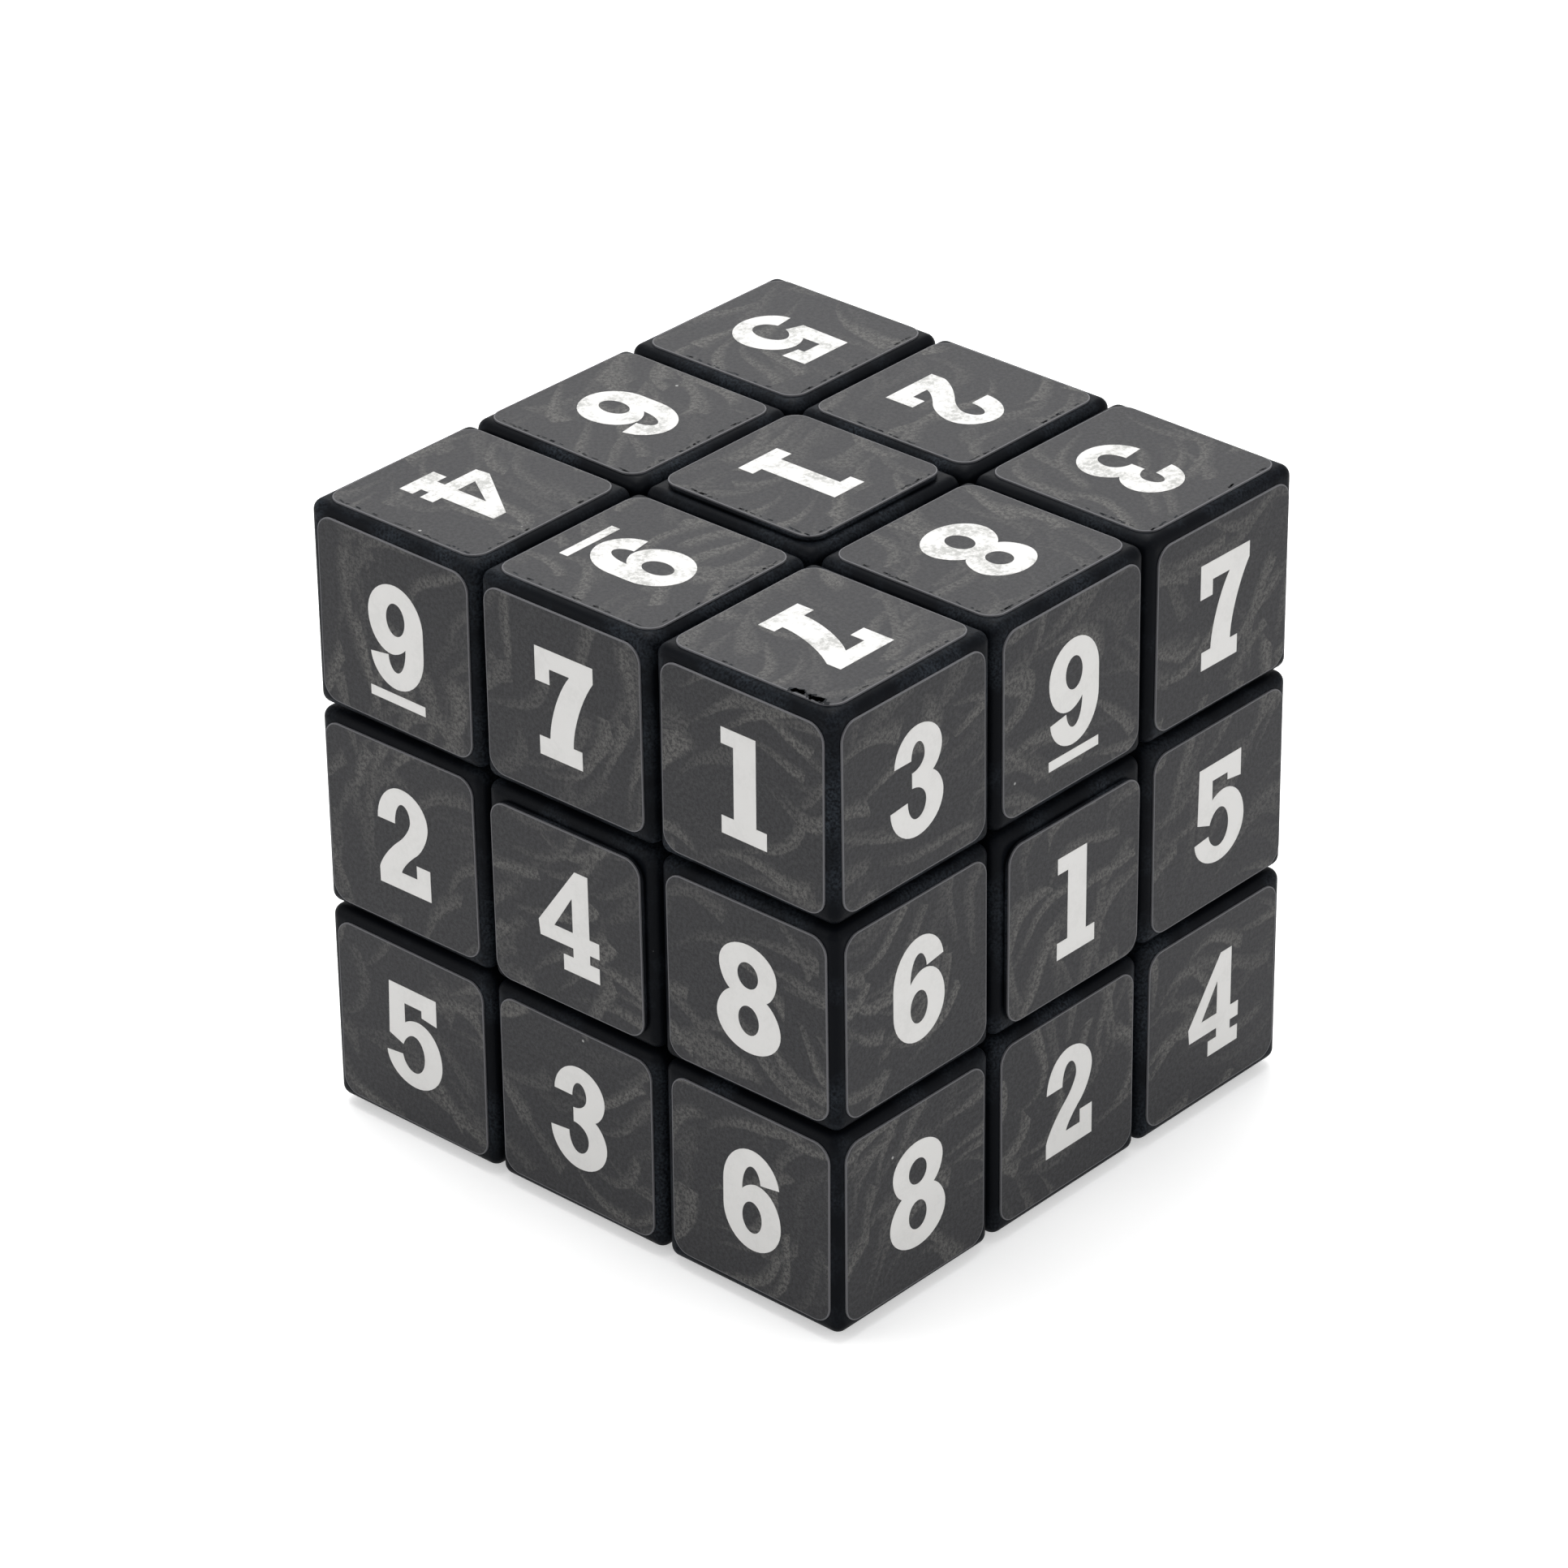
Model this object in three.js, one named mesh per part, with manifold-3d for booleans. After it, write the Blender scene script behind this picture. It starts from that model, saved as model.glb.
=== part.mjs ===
// A number-puzzle cube of three by three by three pieces, with a screwed core and spring-loaded centres.
// Millimetres, +Z up, standing on the cap of its bottom centre, with the origin below the middle of the cube.
// Every layer can turn: its pieces are parted from the others by flat planes and by spheres about the
// middle of the cube. The feet of the edges and corners slide under the blocks of their neighbours.
import * as THREE from 'three';
import { mergeVertices } from 'three/addons/utils/BufferGeometryUtils.js';
import { RoundedBoxGeometry } from 'three/addons/geometries/RoundedBoxGeometry.js';
import Module from 'manifold-3d';

// Driving sizes of the pieces
const PITCH = 19.0; // spacing of the pieces along an edge of the cube
const PIECE_GAP = 0.4; // air between neighbouring pieces
const EDGE_ROUND = 1.0; // rounding of the moulded edges
const FIT = 0.2; // clearance between parts that are seated on each other
const SLIDE = 0.9; // height of the sliding gap between a foot and the block above it
const FOOT_LAP = 2.5; // how far the feet reach up past the inner corner of a corner block
const FOOT_THICK = 5.0; // radial thickness of the feet
const PEG_RADIUS = 1.2; // peg that joins the foot of a corner to its block
const PEG_LENGTH = 6.0;

// Driving sizes of the core and of the parts that hold the centres
const CORE_BALL = 7.5; // radius of the hub of the core
const SHANK_RADIUS = 1.25; // screw
const SHANK_TIP = 6.0; // how far from the middle of the cube the tip of a screw lies
const HEAD_THICK = 1.6;
const HEAD_ROOM = 1.5; // air between the head of a screw and the cap over it
const DRIVE_LENGTH = 2.8; // cross recess in the head
const DRIVE_WIDTH = 0.7;
const DRIVE_DEPTH = 0.8;
const WASHER_THICK = 0.5;
const SPRING_WIRE = 0.6; // diameter of the wire
const SPRING_TURNS = 3.5;
const SPRING_PLAY = 0.4; // air between the spring and the shank inside it, or the bore around it
const STEM_WALL = 1.5; // wall of the hollow stem of a centre
const STEM_FLOOR = 1.6; // floor of the stem, which carries the spring

// Driving sizes of the caps
const CAP_PROUD = 0.6; // how far a cap stands out of the face of the cube
const CAP_RIM = 0.95; // rim of the centre that shows around its cap
const CAP_ROUND = 2.0; // corners of the cap
const CAP_LEDGE = 1.6; // how far the plate of the cap laps over its plug
const CAP_PLUG = 1.6; // depth of the plug

// Counts of facets
const ROUND_STEPS = 1; // steps of each half of a rounded edge
const BALL_STEPS = 4; // subdivisions of each eighth of a sphere
const PIN_SIDES = 12;
const ARC_STEPS = 2; // steps of a rounded corner of the cap
const COIL_STEPS = 8; // steps of one turn of a spring
const COIL_SIDES = 5;

// Planes and spheres that part the pieces
const half = 1.5 * PITCH;
const inner = PITCH / 2 + PIECE_GAP / 2;
const middle = PITCH / 2 - PIECE_GAP / 2;
const roof = (Math.sqrt(3) * PITCH) / 2 + FOOT_LAP;
const footTop = roof - SLIDE;
const footBottom = footTop - FOOT_THICK;

// Radii of the parts on a turning axis, from the screw outwards
const holeRadius = SHANK_RADIUS + FIT;
const coilRadius = SHANK_RADIUS + SPRING_PLAY + SPRING_WIRE / 2;
const boreRadius = coilRadius + SPRING_WIRE / 2 + SPRING_PLAY;
const headRadius = boreRadius - SPRING_PLAY;
const stemRadius = boreRadius + STEM_WALL;
const footStart = stemRadius + PIECE_GAP;

// Heights of the parts on a turning axis, from the middle of the cube outwards
const stemEnd = footBottom;
const armEnd = stemEnd - FIT;
const seat = stemEnd + STEM_FLOOR;
const recessFloor = half - CAP_PLUG - FIT;
const headTop = recessFloor - HEAD_ROOM;
const headUnder = headTop - HEAD_THICK;
const washerTop = headUnder - FIT;
const washerUnder = washerTop - WASHER_THICK;
const springTop = washerUnder - FIT;
const springBottom = seat + FIT;

// Squares of a cap
const capSide = 2 * (middle - CAP_RIM);
const plugSide = capSide - 2 * CAP_LEDGE;
const plugRound = Math.max(CAP_ROUND - CAP_LEDGE, FIT);

const wasm = await Module();
wasm.setup();

// A closed geometry as a solid that can be joined and cut.
function solid(geometry) {
  const bare = geometry.clone();
  bare.deleteAttribute('normal');
  bare.deleteAttribute('uv');
  const merged = mergeVertices(bare, 1e-4);
  const vertProperties = Float32Array.from(merged.attributes.position.array);
  const triVerts = Uint32Array.from(merged.index.array);
  return new wasm.Manifold(new wasm.Mesh({ numProp: 3, vertProperties, triVerts }));
}

// The geometry of a finished solid.
function shapeOf(body) {
  const mesh = body.getMesh();
  const geometry = new THREE.BufferGeometry();
  geometry.setAttribute('position', new THREE.BufferAttribute(mesh.vertProperties, 3));
  geometry.setIndex(new THREE.BufferAttribute(mesh.triVerts, 1));
  geometry.computeVertexNormals();
  return geometry;
}

// A box between two corners.
function box(low, high) {
  const size = high.map((value, axis) => value - low[axis]);
  const geometry = new THREE.BoxGeometry(...size);
  geometry.translate(...low.map((value, axis) => value + size[axis] / 2));
  return solid(geometry);
}

// A box between two corners with all its edges rounded.
function roundedBox(low, high) {
  const size = high.map((value, axis) => value - low[axis]);
  const geometry = new RoundedBoxGeometry(...size, ROUND_STEPS, EDGE_ROUND);
  geometry.translate(...low.map((value, axis) => value + size[axis] / 2));
  return solid(geometry);
}

// A ball about the middle of the cube, alike along all three axes.
function ball(radius) {
  return solid(new THREE.OctahedronGeometry(radius, BALL_STEPS));
}

// A pin along +Z between two heights.
function pin(radius, low, high) {
  const geometry = new THREE.CylinderGeometry(radius, radius, high - low, PIN_SIDES);
  geometry.rotateX(Math.PI / 2);
  geometry.translate(0, 0, (low + high) / 2);
  return solid(geometry);
}

// A pin along the diagonal from the middle of the cube through its corner.
function diagonalPin(radius, low, high) {
  const geometry = new THREE.CylinderGeometry(radius, radius, high - low, PIN_SIDES);
  geometry.translate(0, (low + high) / 2, 0);
  const diagonal = new THREE.Vector3(1, 1, 1).normalize();
  geometry.applyQuaternion(new THREE.Quaternion().setFromUnitVectors(new THREE.Vector3(0, 1, 0), diagonal));
  return solid(geometry);
}

// A square plate with rounded corners about the Z axis, between two heights.
function squarePlate(side, round, low, high) {
  const reach = side / 2 - round;
  const outline = new THREE.Shape();
  outline.absarc(reach, reach, round, 0, Math.PI / 2);
  outline.absarc(-reach, reach, round, Math.PI / 2, Math.PI);
  outline.absarc(-reach, -reach, round, Math.PI, 1.5 * Math.PI);
  outline.absarc(reach, -reach, round, 1.5 * Math.PI, 2 * Math.PI);
  outline.closePath();
  const geometry = new THREE.ExtrudeGeometry(outline, {
    depth: high - low,
    bevelEnabled: false,
    curveSegments: ARC_STEPS,
  });
  geometry.translate(0, 0, low);
  return solid(geometry);
}

// Hub with six arms along the turning axes, each with a pilot hole for its screw.
function coreShape() {
  let body = ball(CORE_BALL);
  const arm = pin(stemRadius, 0, armEnd);
  const hole = pin(holeRadius, SHANK_TIP - FIT, armEnd + FIT);
  const turns = [[0, 0, 0], [180, 0, 0], [90, 0, 0], [-90, 0, 0], [0, 90, 0], [0, -90, 0]];
  for (const turn of turns) {
    body = body.add(arm.rotate(turn));
  }
  for (const turn of turns) {
    body = body.subtract(hole.rotate(turn));
  }
  return shapeOf(body);
}

// Screw along +Z with a flat head and a cross recess.
function screwShape() {
  const shank = pin(SHANK_RADIUS, SHANK_TIP, headUnder + HEAD_THICK / 2);
  const head = pin(headRadius, headUnder, headTop);
  const reach = DRIVE_LENGTH / 2;
  const width = DRIVE_WIDTH / 2;
  const bottom = headTop - DRIVE_DEPTH;
  const slot = box([-reach, -width, bottom], [reach, width, headTop + FIT]);
  const cross = slot.add(box([-width, -reach, bottom], [width, reach, headTop + FIT]));
  return shapeOf(shank.add(head).subtract(cross));
}

// Flat washer under the head of a screw.
function washerShape() {
  const hole = pin(holeRadius, washerUnder - FIT, washerTop + FIT);
  return shapeOf(pin(headRadius, washerUnder, washerTop).subtract(hole));
}

// Points on the middle of the wire of a spring, one for each step.
function coilPoints() {
  const steps = Math.round(SPRING_TURNS * COIL_STEPS);
  const low = springBottom + SPRING_WIRE / 2;
  const rise = springTop - springBottom - SPRING_WIRE;
  const points = [];
  for (let step = 0; step <= steps; step += 1) {
    const angle = (2 * Math.PI * SPRING_TURNS * step) / steps;
    const height = low + (rise * step) / steps;
    points.push(new THREE.Vector3(coilRadius * Math.cos(angle), coilRadius * Math.sin(angle), height));
  }
  return points;
}

// Least gap of the wire to itself, between points that are at least half a turn apart.
function coilGap(points) {
  let least = Infinity;
  for (let first = 0; first < points.length; first += 1) {
    for (let other = first + COIL_STEPS / 2; other < points.length; other += 1) {
      least = Math.min(least, points[first].distanceTo(points[other]));
    }
  }
  return least - SPRING_WIRE;
}

// Compression spring: one unbroken tube of wire about the screw, with flat ends.
function springShape() {
  const points = coilPoints();
  const positions = [];
  for (const point of points) {
    const outward = new THREE.Vector3(point.x, point.y, 0).normalize();
    for (let side = 0; side < COIL_SIDES; side += 1) {
      const angle = (2 * Math.PI * side) / COIL_SIDES;
      const corner = point.clone().addScaledVector(outward, (SPRING_WIRE / 2) * Math.cos(angle));
      corner.z += (SPRING_WIRE / 2) * Math.sin(angle);
      positions.push(...corner.toArray());
    }
  }
  const triangles = [];
  for (let ring = 0; ring + 1 < points.length; ring += 1) {
    for (let side = 0; side < COIL_SIDES; side += 1) {
      const here = ring * COIL_SIDES + side;
      const next = ring * COIL_SIDES + ((side + 1) % COIL_SIDES);
      triangles.push(here, here + COIL_SIDES, next, next, here + COIL_SIDES, next + COIL_SIDES);
    }
  }
  const last = (points.length - 1) * COIL_SIDES;
  for (let side = 1; side + 1 < COIL_SIDES; side += 1) {
    triangles.push(0, side, side + 1);
    triangles.push(last, last + side + 1, last + side);
  }
  const geometry = new THREE.BufferGeometry();
  geometry.setAttribute('position', new THREE.Float32BufferAttribute(positions, 3));
  geometry.setIndex(triangles);
  geometry.computeVertexNormals();
  console.log('least gap of a spring to itself, mm:', coilGap(points).toFixed(2));
  return geometry;
}

// Centre piece on +Z: a block on a hollow stem, with a square recess for its cap.
function centreShape() {
  const block = roundedBox([-middle, -middle, inner], [middle, middle, half]).subtract(ball(roof));
  const stem = pin(stemRadius, stemEnd, recessFloor - FIT);
  const bore = pin(boreRadius, seat, recessFloor + FIT);
  const hole = pin(holeRadius, stemEnd - FIT, seat + FIT);
  const recess = squarePlate(plugSide + 2 * FIT, plugRound + FIT, recessFloor, half + FIT);
  return shapeOf(block.add(stem).subtract(bore).subtract(hole).subtract(recess));
}

// Cap on +Z: a plate on the face of the centre, with a plug in its recess.
function capShape() {
  const plate = squarePlate(capSide, CAP_ROUND, half + FIT, half + CAP_PROUD);
  const plug = squarePlate(plugSide, plugRound, half - CAP_PLUG, half + CAP_PROUD / 2 + FIT / 2);
  return shapeOf(plate.add(plug));
}

// Edge piece between +Y and +Z: a block, and a foot that reaches under the two centres beside it.
function edgeShape() {
  const block = roundedBox([-middle, inner, inner], [middle, half, half]).subtract(ball(roof));
  const reach = [stemRadius, footTop, footTop];
  const foot = box([-stemRadius, footStart, footStart], reach).intersect(ball(footTop)).subtract(ball(footBottom));
  const neckTop = (roof + SLIDE + FIT) / Math.SQRT2 + SLIDE;
  const neck = box([-stemRadius, inner, inner], [stemRadius, neckTop, neckTop]);
  return shapeOf(block.add(neck).add(foot));
}

// Block of a corner piece, in the octant of +X, +Y and +Z, with a socket for the peg of its foot.
function cornerShape() {
  const block = roundedBox([inner, inner, inner], [half, half, half]).subtract(ball(footTop + FIT));
  const socket = diagonalPin(PEG_RADIUS + FIT, footBottom, footTop + PEG_LENGTH + FIT);
  return shapeOf(block.subtract(socket));
}

// Foot of a corner piece, which reaches under the three edges beside it, with the peg that holds it.
function cornerFootShape() {
  const low = [footStart, footStart, footStart];
  const foot = box(low, [footTop, footTop, footTop]).intersect(ball(footTop)).subtract(ball(footBottom));
  const peg = diagonalPin(PEG_RADIUS, footTop - FOOT_THICK / 2, footTop + PEG_LENGTH);
  return shapeOf(foot.add(peg));
}

const blackPlastic = new THREE.MeshStandardMaterial({ color: 0x15181c, roughness: 0.42, metalness: 0.0 });
const capPlastic = new THREE.MeshStandardMaterial({ color: 0x3b3b3b, roughness: 0.55, metalness: 0.0 });
const corePlastic = new THREE.MeshStandardMaterial({ color: 0xd9d6cc, roughness: 0.5, metalness: 0.0 });
const zincSteel = new THREE.MeshStandardMaterial({ color: 0xb4b7ba, roughness: 0.35, metalness: 1.0 });
const springSteel = new THREE.MeshStandardMaterial({ color: 0x8c8f93, roughness: 0.3, metalness: 1.0 });

// Outward directions of the six faces, with the front towards -Y.
const faces = {
  top: new THREE.Vector3(0, 0, 1),
  bottom: new THREE.Vector3(0, 0, -1),
  front: new THREE.Vector3(0, -1, 0),
  back: new THREE.Vector3(0, 1, 0),
  right: new THREE.Vector3(1, 0, 0),
  left: new THREE.Vector3(-1, 0, 0),
};
const upright = ['top', 'bottom'];
const facing = ['front', 'back'];
const sideways = ['right', 'left'];

const cube = new THREE.Group();
cube.position.z = half + CAP_PROUD;

// Adds a named piece, turned so that its own +Y and +Z point along two given directions.
function place(name, geometry, material, alongY, alongZ) {
  const mesh = new THREE.Mesh(geometry, material);
  mesh.name = name;
  const alongX = new THREE.Vector3().crossVectors(alongY, alongZ);
  mesh.quaternion.setFromRotationMatrix(new THREE.Matrix4().makeBasis(alongX, alongY, alongZ));
  cube.add(mesh);
}

place('core', coreShape(), corePlastic, faces.back, faces.top);

// The parts on the six turning axes
const axisParts = [
  ['screw', screwShape(), zincSteel],
  ['spring', springShape(), springSteel],
  ['washer', washerShape(), zincSteel],
  ['centre', centreShape(), blackPlastic],
  ['cap', capShape(), capPlastic],
];
for (const [face, direction] of Object.entries(faces)) {
  const beside = direction.z === 0 ? faces.top : faces.back;
  for (const [part, geometry, material] of axisParts) {
    place(`${part}_${face}`, geometry, material, beside, direction);
  }
}

// The twelve edges, each between two faces that meet
const edge = edgeShape();
for (const [firsts, seconds] of [[upright, facing], [upright, sideways], [facing, sideways]]) {
  for (const first of firsts) {
    for (const second of seconds) {
      place(`edge_${first}_${second}`, edge, blackPlastic, faces[first], faces[second]);
    }
  }
}

// The eight corners, each where three faces meet
const corner = cornerShape();
const cornerFoot = cornerFootShape();
for (const first of upright) {
  for (const second of facing) {
    for (const third of sideways) {
      const across = new THREE.Vector3().crossVectors(faces[second], faces[first]);
      const alongY = across.equals(faces[third]) ? faces[second] : faces[third];
      const name = `${first}_${second}_${third}`;
      place(`corner_${name}`, corner, blackPlastic, alongY, faces[first]);
      place(`corner_foot_${name}`, cornerFoot, blackPlastic, alongY, faces[first]);
    }
  }
}

export default cube;
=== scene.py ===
"""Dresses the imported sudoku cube: moulded pieces, lids, printed films and the works inside.

Lengths are in millimetres from the middle of the cube unless a name says otherwise. Each mesh
is turned to metres, and raised so that the cube stands on the table, as it is put in place.
"""

import logging
import math
from dataclasses import dataclass, field
from enum import Enum
from itertools import product

import bmesh
import bpy
import numpy as np
from mathutils import Matrix, Vector
from numpy.typing import NDArray


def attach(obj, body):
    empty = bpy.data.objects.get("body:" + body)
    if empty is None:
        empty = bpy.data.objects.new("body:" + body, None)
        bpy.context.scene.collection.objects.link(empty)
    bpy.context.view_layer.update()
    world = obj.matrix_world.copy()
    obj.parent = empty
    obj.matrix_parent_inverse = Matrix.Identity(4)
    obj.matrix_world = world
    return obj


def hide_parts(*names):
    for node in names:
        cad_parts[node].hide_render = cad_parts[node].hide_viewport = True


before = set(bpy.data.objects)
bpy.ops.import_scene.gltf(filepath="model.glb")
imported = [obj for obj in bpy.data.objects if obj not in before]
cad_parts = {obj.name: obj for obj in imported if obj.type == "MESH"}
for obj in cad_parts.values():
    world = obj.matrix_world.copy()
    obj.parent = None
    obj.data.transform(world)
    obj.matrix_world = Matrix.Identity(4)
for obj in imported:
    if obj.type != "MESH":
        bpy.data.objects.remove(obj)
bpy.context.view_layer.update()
LOG = logging.getLogger("sudoku_cube")

Points = NDArray[np.float64]
Corner = tuple[float, float, float]
Cell = tuple[int, int, int]
Range = tuple[float, float]
Profile = tuple[Range, ...]
Contour = tuple[tuple[float, ...], ...]
Tree = bpy.types.NodeTree
Socket = bpy.types.NodeSocket

METRES = 0.001  # in a millimetre
SHARP_ANGLE = math.radians(32)  # edges that turn more than this stay crisp
SAME_PLACE = 0.002  # points nearer than this after a cut are one
PIN_SIDES = 32  # points round a screw, a peg or a small hole
STEM_SIDES = 48  # points round a stem or an arm
DUST = "#9a9a98"  # colour of a speck of dust
DUST_MM = 3.0  # between the places where a speck may lie
SPECK = (0.055, 0.03)  # where a speck ends and where it is full, as shares of that distance
SPECK_CHANCE = (0.93, 0.94)  # a place has no speck below the first and one above the second
FROM, TO = (1, 2), (3, 4)  # inputs of a mapped range: its limits before and after
UNDER, OVER, MIXED = 6, 7, 2  # two inputs and the output of a mix of colours


@dataclass(frozen=True)
class CubeSizes:
    """Sizes that several pieces share, as the solids have them.

    Attributes:
        pitch: distance between the middles of two pieces.
        gap: air between two pieces.
        edge_round: rounding of a piece's edges.
        fit: clearance of parts that fit into each other.
        slide: clearance of parts that slide on each other.
        foot_lap: how far the hollow for the feet reaches past the corner of the inner cube.
        foot_thick: thickness of a foot.
        shank_radius: radius of a screw's shank.
        spring_wire: thickness of a spring's wire.
        spring_play: air inside a spring, and outside it.
        stem_wall: wall of a centre's stem.
        stem_floor: floor of that stem, which carries the spring.
        cap_proud: how far a lid with its film stands out of the cube's face.
        cap_rim: width of the centre's plastic round a lid.
        cap_round: rounding of a lid's corners.
        cap_ledge: how far a lid laps over its plug.
        cap_plug: depth of the plug.
        film_thick: thickness of a film.
    """

    pitch: float = 19.0
    gap: float = 0.4
    edge_round: float = 1.0
    fit: float = 0.2
    slide: float = 0.9
    foot_lap: float = 2.5
    foot_thick: float = 5.0
    shank_radius: float = 1.25
    spring_wire: float = 0.6
    spring_play: float = 0.4
    stem_wall: float = 1.5
    stem_floor: float = 1.6
    cap_proud: float = 0.6
    cap_rim: float = 0.95
    cap_round: float = 2.0
    cap_ledge: float = 1.6
    cap_plug: float = 1.6
    film_thick: float = 0.15

    @property
    def half(self) -> float:
        """Distance of a face of the cube from its middle."""
        return 1.5 * self.pitch

    @property
    def inner(self) -> float:
        """Plane where the outer pieces begin."""
        return (self.pitch + self.gap) / 2

    @property
    def middle(self) -> float:
        """Plane where the pieces in the middle of a layer end."""
        return (self.pitch - self.gap) / 2

    @property
    def roof(self) -> float:
        """Radius of the hollow under the edges and centres, which the feet turn in."""
        return math.sqrt(3) * self.pitch / 2 + self.foot_lap

    @property
    def foot_top(self) -> float:
        """Outer radius of the feet."""
        return self.roof - self.slide

    @property
    def foot_bottom(self) -> float:
        """Inner radius of the feet, and the height where the stems end."""
        return self.foot_top - self.foot_thick

    @property
    def seat(self) -> float:
        """Height of the floor in a stem, under its spring."""
        return self.foot_bottom + self.stem_floor

    @property
    def hole_radius(self) -> float:
        """Radius of the holes that a screw passes."""
        return self.shank_radius + self.fit

    @property
    def coil_radius(self) -> float:
        """Radius of a spring to the middle of its wire."""
        return self.shank_radius + self.spring_play + self.spring_wire / 2

    @property
    def head_radius(self) -> float:
        """Radius of a screw's head and of its washer."""
        return self.coil_radius + self.spring_wire / 2

    @property
    def stem_radius(self) -> float:
        """Outer radius of a centre's stem and of a core's arm."""
        return self.head_radius + self.spring_play + self.stem_wall

    @property
    def foot_start(self) -> float:
        """Plane where the feet begin, clear of the stems."""
        return self.stem_radius + self.gap

    @property
    def recess_floor(self) -> float:
        """Height of the floor under a lid's plug."""
        return self.half - self.cap_plug - self.fit

    @property
    def cap_side(self) -> float:
        """Side of a lid's square plate."""
        return 2 * (self.middle - self.cap_rim)

    @property
    def plug_side(self) -> float:
        """Side of the square plug under a lid."""
        return self.cap_side - 2 * self.cap_ledge

    @property
    def cap_top(self) -> float:
        """Height of the bare lid, under its film."""
        return self.half + self.cap_proud - self.film_thick


@dataclass
class Shape:
    """A closed surface in the making.

    Attributes:
        points: its points, one row each.
        faces: its faces as rows of point numbers, turned outwards.
    """

    points: Points
    faces: list[list[int]]

    def moved(self, turn: Points, shift: Points | float = 0.0) -> "Shape":
        """The surface turned by a matrix and then shifted."""
        return Shape(self.points @ np.asarray(turn, float).T + shift, self.faces)


class Ends(Enum):
    """How the first and last ring of a carried outline are closed."""

    CAPPED = "each ring gets a flat lid"
    JOINED = "the last ring goes back to the first"


class Cut(Enum):
    """How one solid works on another."""

    JOIN = "UNION"
    REMOVE = "DIFFERENCE"
    KEEP_SHARED = "INTERSECT"


def welded(points: Points, faces: list[list[int]]) -> Shape:
    """Joins points that lie within a millionth of a millimetre.

    Args:
        points: points with doubles among them.
        faces: rows of point numbers.

    Returns:
        The same surface with each place held once.
    """
    _, first, number = np.unique(np.round(points, 6), axis=0, return_index=True, return_inverse=True)
    number = number.reshape(-1)
    return Shape(points[first], [number[face].tolist() for face in faces])


def joined(shapes: list[Shape]) -> Shape:
    """Holds several surfaces as one, each with its point numbers moved past those before it.

    Args:
        shapes: the surfaces.

    Returns:
        One surface with their points and faces in order.
    """
    first = np.cumsum([0, *(len(shape.points) for shape in shapes)]).tolist()
    faces = [
        [number + start for number in face]
        for shape, start in zip(shapes, first)
        for face in shape.faces
    ]
    return Shape(np.concatenate([shape.points for shape in shapes]), faces)


def rounded_block(low: Corner, high: Corner, rounding: float, steps: int, rest: float = 0.3) -> Shape:
    """Surface of a box with all its edges and corners rounded, or of a ball.

    On each side two parameters run across the box, spaced by equal angles on its rounding. A
    point q of the plain box goes to c + rounding * (q - c) / |q - c|, where c is q held inside
    the box that is smaller by the rounding all round. With a rounding of half the side, c is
    the middle and the surface is a ball.

    Args:
        low: lowest corner.
        high: highest corner.
        rounding: radius of the edges, or 0 for sharp ones.
        steps: steps of each half of a rounded edge.
        rest: width of the flat strip beside a rounding that keeps the shading of the side flat.

    Returns:
        The closed surface.
    """
    lowest, highest = np.asarray(low, float), np.asarray(high, float)
    inset = rounding * (1 - np.tan(np.linspace(math.pi / 4, 0, steps + 1))) if rounding else np.zeros(1)
    lines = []
    for start, stop in zip(lowest, highest):
        own = [start + inset, stop - inset]
        if stop - start - 2 * rounding > 3 * rest:
            own.append(np.array([start + rounding + rest, stop - rounding - rest]))
        lines.append(np.unique(np.round(np.concatenate(own), 9)))
    points, faces, count = [], [], 0
    for axis, level in product(range(3), (0, 1)):
        across, along = (axis + 1) % 3, (axis + 2) % 3
        u, v = np.meshgrid(lines[across], lines[along], indexing="ij")
        side = np.empty((*u.shape, 3))
        side[..., axis] = (lowest, highest)[level][axis]
        side[..., across], side[..., along] = u, v
        number = count + np.arange(u.size).reshape(u.shape)
        quads = np.stack([number[:-1, :-1], number[1:, :-1], number[1:, 1:], number[:-1, 1:]], -1)
        quads = quads.reshape(-1, 4)
        faces += (quads if level else quads[:, ::-1]).tolist()
        points.append(side.reshape(-1, 3))
        count += u.size
    plain = np.concatenate(points)
    if rounding:
        held = np.clip(plain, lowest + rounding, highest - rounding)
        out = plain - held
        plain = held + rounding * out / np.linalg.norm(out, axis=1, keepdims=True)
    return welded(plain, faces)


def sharp_block(low: Corner, high: Corner) -> Shape:
    """A box with sharp edges, as a block without rounding."""
    return rounded_block(low, high, 0.0, 1)


def ball(radius: float, steps: int = 14) -> Shape:
    """A ball about the middle of the cube, as a block that is all rounding."""
    return rounded_block((-radius,) * 3, (radius,) * 3, radius, steps)


def carried(rings: Points, ends: Ends) -> Shape:
    """Skin over an outline that is carried along a path.

    Ring i holds the outline at the i-th place of the path, anticlockwise as seen from the
    path's far end, and each quad joins two neighbours of one ring to the same two of the next.

    Args:
        rings: array of rings, points and coordinates.
        ends: how the two ends are closed.

    Returns:
        The closed surface.
    """
    count, around = rings.shape[:2]
    number = np.arange(count * around).reshape(count, around)
    here = number if ends is Ends.JOINED else number[:-1]
    there = np.roll(number, -1, axis=0)[: len(here)]
    quads = np.stack([here, np.roll(here, -1, 1), np.roll(there, -1, 1), there], -1)
    faces = quads.reshape(-1, 4).tolist()
    if ends is Ends.CAPPED:
        faces += [number[0, ::-1].tolist(), number[-1].tolist()]
    return Shape(rings.reshape(-1, 3), faces)


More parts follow.
